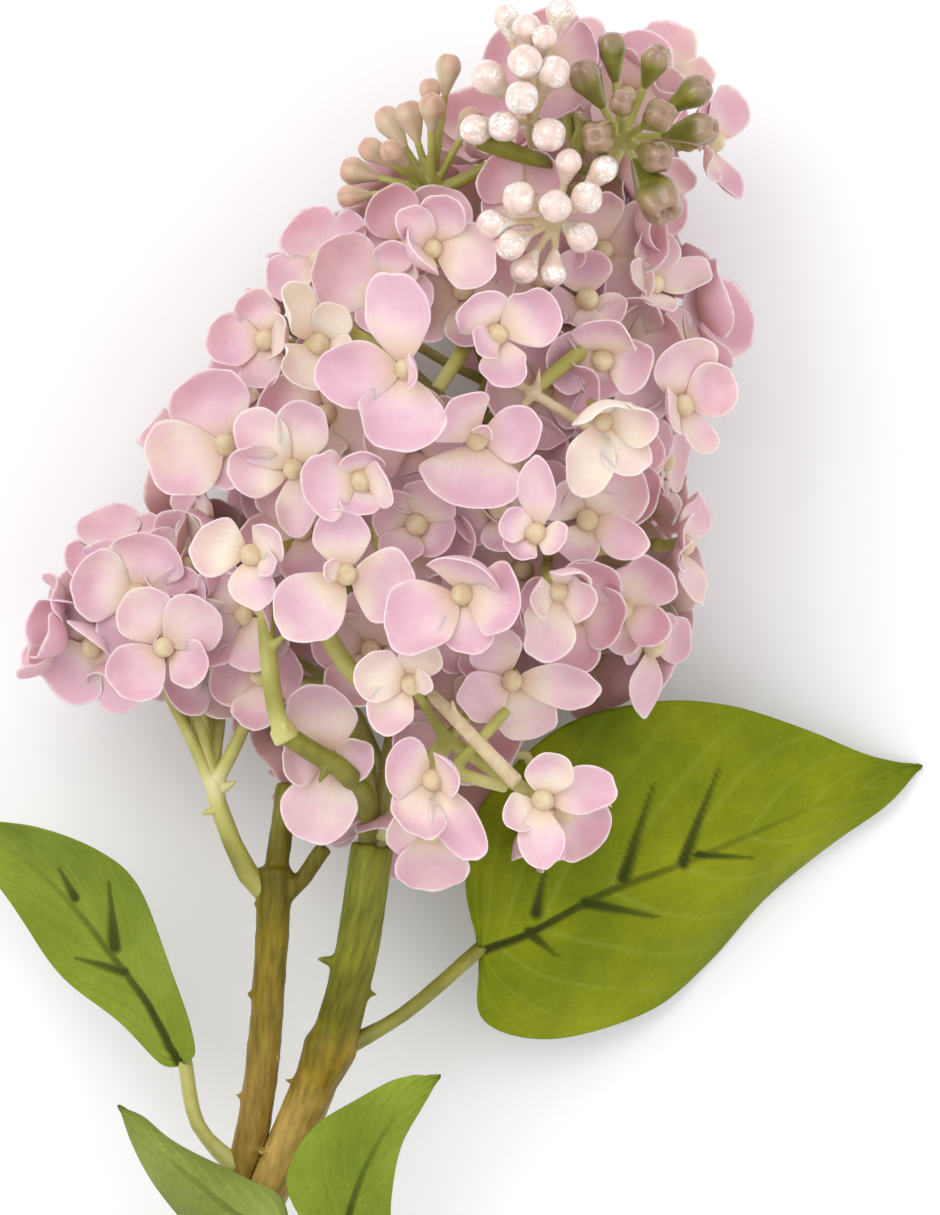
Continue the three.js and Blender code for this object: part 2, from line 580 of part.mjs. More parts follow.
// ---- Leaves -------------------------------------------------------------------------
// A leaf is a list of rows from its base to its tip, each the left edge, the midrib and the
// right edge, between a base point and a tip point. Its petiole joins the base to the stem.
const leaves = [
  {
    name: "leaf_right",
    petiole: [[-8, -39, 43], [6, -31.5, 40], [22, -20.5, 34]],
    base: [21.6, -21, 34],
    rows: [
      [[19, -6, 37], [24, -20, 33.6], [22.5, -33, 24]],
      [[22, 9, 38], [32, -17, 31.5], [36, -37, 15]],
      [[37.6, 24, 38], [47, -9, 28.5], [54, -31.5, 6]],
      [[55.6, 29, 34], [63, -3, 24], [66, -21, 0.8]],
      [[71, 28.3, 28], [78, 3.5, 19], [77, -8.5, 0.8]],
      [[87, 23, 20], [92, 9.5, 13.5], [91, 2.5, 3.5]],
      [[100, 18, 10], [103, 13.5, 7.5], [103, 10, 3.5]],
    ],
    tip: [111, 16.4, 0.6],
  },
  {
    name: "leaf_left",
    petiole: [[-25.3, -62, 37], [-33, -55, 38], [-38.8, -43, 37]],
    base: [-38.4, -44, 37],
    rows: [
      [[-43, -43.5, 35], [-40.5, -40, 38], [-34, -40, 42]],
      [[-52, -36, 29], [-45, -31, 36], [-37.5, -24, 46]],
      [[-62, -26, 24], [-52, -21, 33], [-44, -6, 48]],
      [[-69, -13, 22], [-60, -10, 31], [-54, 1.5, 46]],
      [[-76, -4, 22], [-70, -1, 29], [-66, 6, 40]],
      [[-84, 3, 22], [-80, 4, 26], [-77.5, 7, 32]],
    ],
    tip: [-91, 9, 21],
  },
  {
    name: "leaf_front_left",
    petiole: [[-32.4, -98, 27.2], [-25, -93, 41], [-17, -79, 50]],
    base: [-16, -80, 50],
    rows: [
      [[-22, -86, 44], [-20, -77.5, 51], [-18, -70, 50]],
      [[-31, -85, 42], [-28, -73, 52], [-25, -65, 48]],
      [[-38, -78, 41], [-36, -66, 51], [-33, -60, 46]],
      [[-44, -68, 42], [-43, -60, 49], [-41, -56, 45]],
      [[-48.5, -59, 43], [-47.6, -55.5, 46], [-46.5, -53.5, 44]],
    ],
    tip: [-51, -51.6, 42],
  },
  {
    name: "leaf_front_right",
    petiole: [[-33, -104, 25.6], [-19, -99, 40], [-8.6, -83, 48.5]],
    base: [-9, -84, 48.5],
    rows: [
      [[-14.5, -74, 53], [-6, -80, 48], [2, -86, 43]],
      [[-17, -66, 56], [-3.5, -73, 47.5], [6, -80, 40]],
      [[-11, -57.5, 55], [-0.5, -65, 47], [6, -70, 40]],
      [[-1, -50.5, 52], [4, -57, 46.5], [7.5, -61.5, 42]],
      [[7, -46.5, 48], [9, -50, 46], [11, -53, 44]],
    ],
    tip: [13.6, -45.6, 45],
  },
];

function leafBlade({ base, rows, tip }) {
  const across = [0, 0.25, 0.5, 0.75, 1];
  const grown = (p) => vec(raised(p.map((value, i) => base[i] + (value - base[i]) * leafScale)));
  const along = grown(tip).sub(vec(raised(base)));
  const rings = rows.map(([left, rib, right]) => {
    const curve = new THREE.CatmullRomCurve3([grown(left), grown(rib), grown(right)]);
    const top = across.map((t) => curve.getPoint(t));
    const down = along.clone().cross(grown(right).sub(grown(left))).normalize();
    const sign = down.z > 0 ? -1 : 1;
    const under = top.map((p) => p.clone().addScaledVector(down, sign * leafThickness));
    return [...top.reverse(), ...under];
  });
  return skin(vec(raised(base)), rings, grown(tip));
}

const stemCutter = [
  limb(widened(headStemPoints, fit + skew), 12, 14),
  limb(widened(sideStemPoints, fit + skew), 10, 8),
  limb(widened(mainStemPoints, fit + skew), 12, 9),
];
for (const leaf of leaves) {
  const petiole = leaf.petiole.map((p, i) => raised([...p, petioleRadius * (i === 0 ? 1.4 : 1)]));
  addNode(leaf.name, joined([leafBlade(leaf), limb(petiole, 7, 5)], joined(stemCutter)), "leaf");
}

// ---- Buds ---------------------------------------------------------------------------
// Sprays of closed buds. Each bud is [x, y, z, radius] at its centre, on a stalk from the hub.
const sprays = [
  {
    name: "buds_pearl_upper",
    from: 0.9,
    route: [[32, 142, 62], [32, 146, 70]],
    buds: [
      [27, 166, 74, 2.5], [31, 164, 80, 2.4], [34.4, 162, 82, 2.5], [37.6, 167, 72, 2.4],
      [23.6, 154, 80, 3], [30.6, 157, 86, 2.8], [36.2, 155, 84, 2.9], [30, 150, 88, 3],
      [21.2, 144, 78, 2.9], [26.6, 144.6, 82, 2.8], [35.2, 143, 84, 2.9],
    ],
  },
  {
    name: "buds_pearl_lower",
    from: 0.78,
    route: [[41, 121, 61], [37, 126, 77]],
    buds: [
      [39.2, 137, 84, 2.5], [46, 135.6, 82, 2.6], [42.6, 130, 86, 2.6], [29.6, 130, 90, 2.7],
      [36.6, 128.4, 92, 2.9], [24.2, 125, 89, 2.7], [28, 121, 88, 2.8], [41.6, 122.6, 84, 2.8],
      [30.6, 116, 84, 2.5], [36.2, 115.6, 82, 2.4],
    ],
  },
  {
    name: "buds_green",
    from: 0.86,
    route: [[46, 134, 52], [50, 142, 64]],
    buds: [
      [48, 160, 66, 2.6], [56.6, 157.6, 74, 3], [43, 154, 72, 2.7], [64.2, 151.4, 70, 2.6],
      [50, 149, 84, 2.4], [57.2, 146.6, 80, 2.8], [65, 144, 72, 3.1], [45.6, 142.4, 82, 3],
      [56.6, 138.6, 78, 2.8], [57, 130.6, 76, 3.6],
    ],
  },
  {
    name: "buds_left",
    from: 0.82,
    route: [[28, 138, 50], [18, 134, 50], [12, 132, 50]],
    buds: [
      [15.2, 156.4, 48, 2.7], [11.6, 152, 54, 2.5], [7.6, 147, 50, 2.8], [12, 148.4, 60, 2.5],
      [3.6, 145.6, 44, 2.8], [0.2, 140, 52, 2.7], [4.2, 139.6, 58, 2.5], [-3.4, 136, 48, 2.5],
      [-4.4, 131, 54, 2.4], [19.6, 146, 56, 2.4],
    ],
  },
];

function bud(hub, [x, y, z, size]) {
  const radius = size * budScale * headScale;
  const centre = vec(inHead([x, y, z]));
  const out = centre.clone().sub(hub).normalize();
  const at = (distance) => centre.clone().addScaledVector(out, distance);
  const points = [
    [...hub.toArray(), pedicelRadius * 0.8],
    [...at(-1.7 * radius).toArray(), pedicelRadius * 0.7],
    [...at(-0.3 * radius).toArray(), radius],
    [...at(0.5 * radius).toArray(), radius * 0.85],
  ];
  const rings = limb(points, 6, 3);
  const position = rings.getAttribute("position");
  position.setXYZ(position.count - 1, ...at(radius * 1.05).toArray());
  return rings;
}

for (const { name, from, route, buds } of sprays) {
  const root = axisRoute.getPoint(from);
  const points = [root, ...route.map((p) => vec(inHead(p)))];
  const hub = points.at(-1);
  const trunk = points.map((p) => [...p.toArray(), pedicelRadius * 1.3]);
  const pieces = [limb(trunk, 6, trunk.length), ...buds.map((b) => bud(hub, b))];
  addNode(name, joined(pieces, axisCutter), "bud");
}

// The origin is the middle of the spray's outline, on the surface that it lies on.
const outline = new THREE.Box3().setFromObject(group);
const middle = outline.getCenter(new THREE.Vector3());
group.position.set(-middle.x, -middle.y, -outline.min.z);

export default group;
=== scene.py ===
import math
from random import Random

import bmesh
import bpy
from mathutils import Matrix, Vector, noise


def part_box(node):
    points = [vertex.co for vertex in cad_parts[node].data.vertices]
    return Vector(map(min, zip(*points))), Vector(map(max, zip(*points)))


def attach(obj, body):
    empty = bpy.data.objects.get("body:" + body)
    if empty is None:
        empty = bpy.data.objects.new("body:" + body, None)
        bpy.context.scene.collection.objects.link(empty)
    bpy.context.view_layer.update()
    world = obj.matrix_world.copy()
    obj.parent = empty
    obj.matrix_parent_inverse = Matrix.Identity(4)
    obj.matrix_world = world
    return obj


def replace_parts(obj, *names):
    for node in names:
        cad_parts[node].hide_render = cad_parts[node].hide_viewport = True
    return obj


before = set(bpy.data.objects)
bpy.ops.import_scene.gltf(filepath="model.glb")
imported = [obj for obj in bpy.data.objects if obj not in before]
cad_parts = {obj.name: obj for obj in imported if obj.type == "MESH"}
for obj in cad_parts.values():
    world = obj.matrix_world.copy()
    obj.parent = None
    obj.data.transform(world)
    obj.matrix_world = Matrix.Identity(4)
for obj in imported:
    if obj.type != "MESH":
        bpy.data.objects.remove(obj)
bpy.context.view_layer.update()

# ---- The table and the light ----
# The spray lies on a white table top, in a bright white room with two large soft lamps.
# The camera hangs straight over the flowers, on a long lens, and +Y runs up its view.
scene = bpy.context.scene
MM = 0.001
TABLE_SIDE = 40.0
VIEW_CENTRE = (9.6 * MM, 62.3 * MM)
VIEW_HEIGHT = 243 * MM
FOCUS_HEIGHT = 72 * MM
LENS = 1000.0
SENSOR = 36.0
FAR_CLIP = 60.0
ROOM_LIGHT = 0.92
LAMPS = (
    ("lamp_left", (-0.55, 0.55, 1.05), 1.0, 7.0),
    ("lamp_right", (0.75, -0.1, 0.85), 1.2, 3.0),
)


def linear(hex_colour):
    """The linear colour of an sRGB hex value."""
    made = []
    for start in (1, 3, 5):
        value = int(hex_colour[start:start + 2], 16) / 255
        made.append(value / 12.92 if value <= 0.04045 else ((value + 0.055) / 1.055) ** 2.4)
    return (*made, 1.0)


def output_of(node):
    """The first output that a node has in use."""
    return next(output for output in node.outputs if output.enabled)


def put(tree, kind, inputs=None, stops=None, **settings):
    """Adds a shader node with its settings, its values or links, and its ramp's stops."""
    made = tree.nodes.new("ShaderNode" + kind)
    for name, value in settings.items():
        setattr(made, name, value)
    for socket, value in (inputs or {}).items():
        if isinstance(value, bpy.types.Node):
            value = output_of(value)
        if isinstance(value, bpy.types.NodeSocket):
            tree.links.new(value, made.inputs[socket])
        else:
            made.inputs[socket].default_value = value
    for i, (place, colour) in enumerate(stops or ()):
        stop = made.color_ramp.elements[i] if i < 2 else made.color_ramp.elements.new(place)
        stop.position = place
        stop.color = linear(colour)
    return made


def new_material(name, finish):
    """A material with its node tree and its shader, whose finish is the same all over."""
    material = bpy.data.materials.new(name)
    material.use_nodes = True
    shader = material.node_tree.nodes["Principled BSDF"]
    for socket, value in finish.items():
        shader.inputs[socket].default_value = value
    return material, material.node_tree, shader


def dress(tree, shader, colour, height, strength, depth):
    """Gives the shader its colour and its relief."""
    relief = put(tree, "Bump", {"Height": height, "Strength": strength, "Distance": depth})
    tree.links.new(output_of(colour), shader.inputs["Base Color"])
    tree.links.new(output_of(relief), shader.inputs["Normal"])


def new_piece(name, bm, materials, slot=None):
    """The bmesh as a smooth mesh object. With a slot, it is a piece that rides on the one body."""
    mesh = bpy.data.meshes.new(name)
    bm.to_mesh(mesh)
    bm.free()
    for material in materials:
        mesh.materials.append(material)
    mesh.shade_smooth()
    piece = bpy.data.objects.new(name, mesh)
    scene.collection.objects.link(piece)
    if slot:
        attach(piece, "root")
    return piece


# White laminate, matt: it gives soft shadows and no reflections.
laminate, tree, shader = new_material("white_laminate", {
    "Base Color": linear("#f7f8f7"), "Roughness": 0.9, "Specular IOR Level": 0.1,
})
top = bmesh.new()
bmesh.ops.create_grid(top, x_segments=1, y_segments=1, size=TABLE_SIDE / 2)
table_top = new_piece("table_top", top, [laminate])

for name, place, side, power in LAMPS:
    light = bpy.data.lights.new(name, "AREA")
    light.energy = power
    light.size = side
    lamp = bpy.data.objects.new(name, light)
    lamp.location = place
    lamp.rotation_euler = Vector(place).to_track_quat("Z", "Y").to_euler()
    scene.collection.objects.link(lamp)

room = bpy.data.worlds.new("white_room")
room.use_nodes = True
glow = room.node_tree.nodes["Background"].inputs
glow["Color"].default_value = linear("#fbfbff")
glow["Strength"].default_value = ROOM_LIGHT
scene.world = room
scene.view_settings.view_transform = "Standard"

lens = bpy.data.cameras.new("camera")
lens.lens = LENS
lens.sensor_width = SENSOR
lens.clip_end = FAR_CLIP
camera = bpy.data.objects.new("camera", lens)
camera.location = (*VIEW_CENTRE, FOCUS_HEIGHT + VIEW_HEIGHT * LENS / SENSOR)
scene.collection.objects.link(camera)
scene.camera = camera

# ---- The florets ----
# Each floret is four soft plastic petals welded round a bead, on a short neck with a collar.
# They are injection moulded in cream, then airbrushed pink from the rim inwards by hand.
BEAD_RADIUS = 2.3 * MM
# The frame's own florets: a pole on the bead, a ring round it, and petals with valleys between.
BEAD_APEX = 1.3 * BEAD_RADIUS
POLE_TO_RING = 2.857 * MM
PETAL_SIDES = 16
VALLEY_REACH = 3.5 * MM
RING_SLACK = 0.02 * MM
VALLEY_SLACK = 0.1 * MM
ANGLE_SLACK = 0.03
# The moulding that stands for them, with how much its petals differ from each other.
PETAL_GRID = 8
PETAL_THICKNESS = 0.42 * MM
PETAL_BASE = 1.1 * MM
PETAL_STRETCH = (1.0, 1.08)
PETAL_FULLNESS = (0.60, 0.67)
CUPS = (0.35, 0.8)
CURLS = (-0.2, 0.1)
ROLLS = (0, 0, 0.5, 1.1)
SWAYS = (-0.1, 0.1)
WAVES = (2, 3, 3, 4)
RIPPLES = (0.2, 0.7)
STAGGERS = (0.25, 0.5)
CLAW_WIDTH = 0.68
CLAW_LENGTH = 0.5
HOLLOW_LEVEL = 0.4
LOBES = Vector((2.2, 2.2, 40))
LOBE_DEPTH = 0.07
NICKS = Vector((9, 9, 70))
NICK_DEPTH = 0.03
FREE_FROM = 0.65
ROLL_FROM = 0.25
ROLL_NARROWS = 0.4
PRESSED = 1.0 * MM
BEAD_PLUMPNESS = (1.0, 1.12)
BEAD_SQUASH = 0.86
BEAD_RISE = 0.9 * MM
NECK_SIDES = 10
NECK = ((2.0, -0.2), (1.75, -1.0), (1.35, -2.2), (1.15, -3.6), (1.2, -4.4), (1.62, -4.9),
        (1.66, -5.7), (1.3, -6.2), (1.15, -7.0), (0.9, -7.4))


def merged_copy(node):
    """A CAD node's loose triangles as one closed bmesh."""
    bm = bmesh.new()
    bm.from_mesh(node.data)
    bmesh.ops.remove_doubles(bm, verts=bm.verts, dist=0.001 * MM)
    return bm


def neighbours(vert):
    """The vertices that share an edge with this one."""
    return [edge.other_vert(vert) for edge in vert.link_edges]


def plane_normal(points, towards):
    """The normal of the plane that holds the points, on the side of one more point."""
    first = points[0]
    best = Vector()
    for a in points:
        for b in points:
            cross = (a - first).cross(b - first)
            if cross.length > best.length:
                best = cross
    best.normalize()
    return best if best.dot(towards - first) > 0 else -best


def read_florets(bm):
    """Finds each floret in a merged CAD mesh: its centre, its axes and its petals."""
    found = []
    for pole in bm.verts:
        ring = neighbours(pole)
        if len(ring) != PETAL_SIDES:
            continue
        away = sum((v.co - pole.co).length for v in ring) / PETAL_SIDES
        if abs(away - POLE_TO_RING) > RING_SLACK:
            continue
        forward = plane_normal([v.co for v in ring], pole.co)
        centre = pole.co - forward * BEAD_APEX
        right = ring[0].co - centre
        right = (right - forward * right.dot(forward)).normalized()
        up = forward.cross(right)
        own = set(ring) | {pole}
        columns = []
        for vert in ring:
            out = vert.co - centre
            angle = math.atan2(out.dot(up), out.dot(right))
            best = (ANGLE_SLACK, 0.0, 0.0)
            for other in neighbours(vert):
                out = other.co - centre
                x, y, rise = out.dot(right), out.dot(up), out.dot(forward)
                miss = abs(math.remainder(math.atan2(y, x) - angle, math.tau))
                if other not in own and miss < best[0]:
                    best = (miss, math.hypot(x, y), rise)
            if best[0] < ANGLE_SLACK:
                columns.append((angle, *best[1:]))
        columns.sort()
        valleys = [i for i, column in enumerate(columns) if abs(column[1] - VALLEY_REACH) < VALLEY_SLACK]
        petals = []
        for i, start in enumerate(valleys):
            end = valleys[(i + 1) % len(valleys)]
            if end <= start:
                end += len(columns)
            between = [columns[k % len(columns)] for k in range(start + 1, end)]
            if len(between) != 3:
                continue
            (low, low_reach, _), (angle, reach, rise), (high, high_reach, _) = between
            width = low_reach * math.sin((angle - low) % math.tau)
            width += high_reach * math.sin((high - angle) % math.tau)
            length = BEAD_RADIUS + math.hypot(reach - BEAD_RADIUS, rise)
            petals.append((angle, length, math.atan2(rise, reach - BEAD_RADIUS), width))
        found.append({"centre": centre, "axes": (right, up, forward), "petals": petals})
    return found


def eased(share):
    """The share, held between 0 and 1, with a soft start and a soft end."""
    share = max(0.0, min(1.0, share))
    return share * share * (3 - 2 * share)


def face_towards(bm, faces, way):
    """Turns the faces of a sheet over if they look away from this way."""
    for face in faces:
        face.normal_update()
    if sum((face.normal for face in faces), Vector()).dot(way) < 0:
        bmesh.ops.reverse_faces(bm, faces=faces)


def add_petal(bm, floret, petal, tone_and_shade, over, rng):
    """One petal: a grid rounded to a disc, drawn out to the petal's outline, cupped and thickened."""
    angle, length, pitch, width = petal
    on_petal = bm.verts.layers.float_vector["on_petal"]
    petal_tone_and_shade = bm.verts.layers.float_vector["petal_tone_and_shade"]
    right, up, forward = floret["axes"]
    out = right * math.cos(angle) + up * math.sin(angle)
    side = forward.cross(out)
    run = out * math.cos(pitch) + forward * math.sin(pitch)
    lift = forward * math.cos(pitch) - out * math.sin(pitch)
    length = length * rng.uniform(*PETAL_STRETCH)
    half = width * rng.uniform(*PETAL_FULLNESS)
    cup = rng.uniform(*CUPS)
    curl = rng.uniform(*CURLS)
    roll = rng.choice((-1, 1)) * rng.choice(ROLLS)
    sway = rng.uniform(*SWAYS)
    phase = rng.uniform(0, math.tau)
    waves = rng.choice(WAVES)
    ripple = rng.uniform(*RIPPLES) * MM
    stagger = rng.uniform(*STAGGERS) * (1 if over else -1) * MM
    seed = rng.random()
    made = bmesh.ops.create_grid(bm, x_segments=PETAL_GRID, y_segments=PETAL_GRID, size=1)["verts"]
    for vert in made:
        s, t = vert.co.x, vert.co.y
        along = s * math.sqrt(1 - t * t / 2)
        across = t * math.sqrt(1 - s * s / 2)
        reach = (along + 1) / 2
        edge = max(abs(s), abs(t))
        turn = math.atan2(across, along)
        taper = CLAW_WIDTH + (1 - CLAW_WIDTH) * eased(reach / CLAW_LENGTH)
        rim = Vector((math.cos(turn), math.sin(turn), seed))
        rough = LOBE_DEPTH * noise.noise(rim * LOBES) + NICK_DEPTH * noise.noise(rim * NICKS)
        outline = 1 + edge ** 6 * rough
        run_out = PETAL_BASE + (length - PETAL_BASE) * reach * outline
        wide = half * across * taper * outline
        free = min(1, (reach / FREE_FROM) ** 2)
        hollow = cup * (along * along + across * across - HOLLOW_LEVEL) * free
        rolled = abs(roll) * max(0.0, across * math.copysign(1, roll) - ROLL_FROM) ** 2 * free
        rise = half * (hollow + rolled) + curl * length * reach ** 3
        rise += ripple * edge ** 3 * math.sin(waves * turn + phase)
        wide -= math.copysign(rolled * half * ROLL_NARROWS, roll)
        bend = sway * length * reach * reach
        vert.co = floret["centre"] + run * run_out + side * (wide + bend) + lift * (rise + stagger)
        vert.co.z = max(vert.co.z, PRESSED)
        vert[on_petal] = (reach, across, edge)
        vert[petal_tone_and_shade] = (*tone_and_shade, seed)
    faces = list({face for vert in made for face in vert.link_faces})
    face_towards(bm, faces, lift)
    bmesh.ops.solidify(bm, geom=faces, thickness=PETAL_THICKNESS)


def add_floret(bm, floret, tone_and_shade, rng):
    """Four petals, the bead in the middle and the neck behind."""
    for i, petal in enumerate(floret["petals"]):
        add_petal(bm, floret, petal, tone_and_shade, i % 2, rng)
    right, up, forward = floret["axes"]
    turned = Matrix((right, up, forward)).transposed().to_4x4()
    place = Matrix.Translation(floret["centre"]) @ turned
    bead_size = BEAD_RADIUS * rng.uniform(*BEAD_PLUMPNESS)
    squashed = Matrix.Diagonal((1, 1, BEAD_SQUASH, 1))
    bead_place = place @ Matrix.Translation((0, 0, BEAD_RISE)) @ squashed
    bead = bmesh.ops.create_uvsphere(bm, u_segments=10, v_segments=7, radius=bead_size, matrix=bead_place)
    for face in {face for vert in bead["verts"] for face in vert.link_faces}:
        face.material_index = 1
    before = set(bm.verts)
    profile = [bm.verts.new((radius * MM, 0, rise * MM)) for radius, rise in NECK]
    edges = [bm.edges.new(pair) for pair in zip(profile, profile[1:])]
    bmesh.ops.spin(bm, geom=profile + edges, cent=(0, 0, 0), axis=(0, 0, 1), angle=math.tau,
                   steps=NECK_SIDES, use_merge=True)
    bmesh.ops.holes_fill(bm, edges=[edge for edge in bm.edges if edge.is_boundary], sides=0)
    verts = [vert for vert in bm.verts if vert not in before]
    faces = list({face for vert in verts for face in vert.link_faces})
    bmesh.ops.recalc_face_normals(bm, faces=faces)
    for face in faces:
        face.material_index = 2
    bmesh.ops.transform(bm, matrix=place, verts=verts)


def rounded(piece):
    """One level of subdivision, for soft forms from few faces."""
    rounding = piece.modifiers.new("rounding", "SUBSURF")
    rounding.levels = 1
    rounding.render_levels = 1
    return piece


def florets_piece(name, florets, tones_and_shades, seed):
    """A piece that holds these florets, each with its own tone and painted shade and its own random draws.
    """
    bm = bmesh.new()
    bm.verts.layers.float_vector.new("on_petal")
    bm.verts.layers.float_vector.new("petal_tone_and_shade")
    for i, (floret, tone_and_shade) in enumerate(zip(florets, tones_and_shades)):
        add_floret(bm, floret, tone_and_shade, Random(f"{seed}{i}"))
    return rounded(new_piece(name, bm, [petal_plastic, bead_plastic, stalk_plastic], "petals"))


# Petal plastic: soft moulded PVC, cream at the claw and airbrushed pink outwards. Its thin rim is
# painted pale, as painted light that shines through it. It has a dry, skin-like sheen.
petal_plastic, tree, shader = new_material("airbrushed_soft_pvc", {
    "Roughness": 0.55, "IOR": 1.46, "Sheen Weight": 0.08, "Subsurface Weight": 0.3,
    "Subsurface Radius": (1.0, 0.55, 0.45), "Subsurface Scale": 2.0 * MM,
})
on_petal = put(tree, "Attribute", attribute_name="on_petal")
tone_and_shade = put(tree, "Attribute", attribute_name="petal_tone_and_shade")
where = put(tree, "SeparateXYZ", {0: on_petal.outputs["Vector"]})
how = put(tree, "SeparateXYZ", {0: tone_and_shade.outputs["Vector"]})
own = put(tree, "TexCoord").outputs["Object"]
cloud = put(tree, "TexNoise", {"Vector": own, "Scale": 1 / (11 * MM), "Detail": 3.0})
spread = put(tree, "Math", {0: cloud, 1: 2.0, 2: -1.12}, operation="MULTIPLY_ADD")
varied = put(tree, "Math", {0: how.outputs[2], 1: 0.3, 2: spread}, operation="MULTIPLY_ADD")
outwards = put(tree, "MapRange", {0: where.outputs[0], 2: 0.8, 3: 0.15}, interpolation_type="SMOOTHSTEP")
sprayed = put(tree, "Math", {0: outwards, 1: how.outputs[0]}, operation="MULTIPLY")
sprayed = put(tree, "Math", {0: sprayed, 1: varied}, operation="ADD", use_clamp=True)
pinks = put(tree, "ValToRGB", {0: sprayed}, stops=(
    (0.0, "#e8d9c6"), (0.95, "#dab3c0"), (0.3, "#e5d0c5"), (0.6, "#e2c2c6")))
claw = put(tree, "MapRange", {0: where.outputs[0], 1: 0.42, 2: 0.0}, interpolation_type="SMOOTHSTEP")
claw = put(tree, "Math", {0: claw, 1: 0.75}, operation="MULTIPLY")
warm = put(tree, "Mix", {0: claw, 6: pinks, 7: linear("#cba88b")}, data_type="RGBA")
# Painted shade: florets deep in the head are mixed towards dusky rose, as if in the head's shadow.
deep_shade = put(tree, "Mix", {0: how.outputs[1], 6: warm, 7: linear("#bb7b7d")}, data_type="RGBA")
lengthwise = put(tree, "VectorMath", {0: on_petal.outputs["Vector"], 1: (2.5, 9, 0)}, operation="MULTIPLY")
streak = put(tree, "TexNoise", {"Vector": lengthwise, "Scale": 1.0, "Detail": 3.0})
streaks = put(tree, "MapRange", {0: streak, 1: 0.3, 2: 0.7, 3: 0.97, 4: 1.02})
brushed = put(tree, "VectorMath", {0: deep_shade, 3: streaks}, operation="SCALE")
fray = put(tree, "TexNoise", {"Vector": own, "Scale": 1 / (1.4 * MM), "Detail": 2.0})
frayed = put(tree, "Math", {0: fray, 1: 0.16, 2: where.outputs[2]}, operation="MULTIPLY_ADD")
# The pale rim is painted light: a painted glow where light comes through the thin edge.
lit_rim_band = {0: frayed, 1: 1.01, 2: 1.1, 4: 0.5}
rim = put(tree, "MapRange", lit_rim_band, interpolation_type="SMOOTHSTEP")
skin = put(tree, "Mix", {0: rim, 6: brushed, 7: linear("#f3e6e0")}, data_type="RGBA")
dress(tree, shader, skin, streak, 0.12, 0.2 * MM)

# Bead plastic: the same PVC left in its own cream colour, a little glossier.
bead_plastic, tree, shader = new_material("cream_moulded_pvc", {
    "Roughness": 0.5, "IOR": 1.46, "Subsurface Weight": 0.2,
    "Subsurface Radius": (1.0, 0.7, 0.5), "Subsurface Scale": 1.5 * MM,
})
own = put(tree, "TexCoord").outputs["Object"]
speckle = put(tree, "TexNoise", {"Vector": own, "Scale": 1 / (2.2 * MM), "Detail": 2.0})
creams = put(tree, "ValToRGB", {0: speckle}, stops=((0.3, "#c8b189"), (0.7, "#d9caa6")))
tree.links.new(output_of(creams), shader.inputs["Base Color"])


def moulded_polythene(name, patch_size, detail, stops, finish):
    """Moulded polythene, waxy and faintly scuffed, whose colour drifts from patch to patch."""
    plastic, tree, shader = new_material(name, {"Roughness": 0.45, "IOR": 1.5, **finish})
    own = put(tree, "TexCoord").outputs["Object"]
    patch = put(tree, "TexNoise", {"Vector": own, "Scale": 1 / patch_size, "Detail": detail})
    greens = put(tree, "ValToRGB", {0: patch}, stops=stops)
    scuff = put(tree, "TexNoise", {"Vector": own, "Scale": 1 / (0.9 * MM), "Detail": 3.0})
    dress(tree, shader, greens, scuff, 0.25, 0.2 * MM)
    return plastic


# Stalk plastic: polythene moulded in yellow-green, a little translucent.
STALK_GREENS = ((0.25, "#7f7a2e"), (0.75, "#d6cf98"), (0.42, "#a3a04c"), (0.58, "#bdb86c"))
stalk_plastic = moulded_polythene("moulded_green_polythene", 16 * MM, 3.0, STALK_GREENS, {
    "Subsurface Weight": 0.1, "Subsurface Scale": 1.5 * MM,
})

# How pink each plugged floret is sprayed, from cream at 0 to full pink at 1.
PINKNESS = (0.45, 0.85, 0.7, 0.75, 0.7, 0.6, 0.85, 0.6, 0.8, 0.95, 0.95, 0.9, 0.75, 0.9, 0.9, 0.6, 0.85,
            0.4, 0.95, 0.65, 1.1, 0.7, 0.7, 0.08, 0.95, 0.75, 0.9, 0.85, 0.7, 0.7, 0.7, 0.95, 0.9, 0.75,
            0.85)
# Painted shade: florets lower in the head, under the others, are painted duskier.
SHADE_FROM = 78 * MM
SHADE_DEPTH = 190 * MM
SHADE_MOST = 0.8


def shade_at(floret, extra_shade=0.0):
    """How much painted shade a floret gets: those deep in the head are painted darker, as if in shadow."""
    return max(0.0, min(SHADE_MOST, (SHADE_FROM - floret["centre"].z) / SHADE_DEPTH + extra_shade))


floret_nodes = sorted(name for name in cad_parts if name.startswith("floret_"))
plugged = {}
for name, pinkness in zip(floret_nodes, PINKNESS):
    bm = merged_copy(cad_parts[name])
    read = read_florets(bm)
    bm.free()
    plugged[name] = read
    tones_and_shades = [(pinkness, shade_at(floret)) for floret in read]
    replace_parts(florets_piece(name + "_petals", read, tones_and_shades, name), name)

# ---- The stalks of the head ----
# Each branch is one moulding: a trunk that forks into thin stalks, some with their florets
# moulded on. The mould leaves soft fillets in the forks. It clips on to the core stalk.
STALK_VOXEL = 0.42 * MM
STALK_SWELL = 0.12 * MM
# Places are listed in millimetres from the head stem's mouth. The right leaf's tip, which is
# the frame's furthest point in X, ties them to the frame.
LISTED_TIP = Vector((111, 16.4, 0.6)) * MM
leaf_tip = max((vert.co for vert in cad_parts["leaf_right"].data.vertices), key=lambda co: co.x)
SHIFT = Vector(leaf_tip) - LISTED_TIP
NECK_CUT = 2.1 * MM
FLORET_REACH = 22 * MM
MOULDED_PINKNESS = 0.9


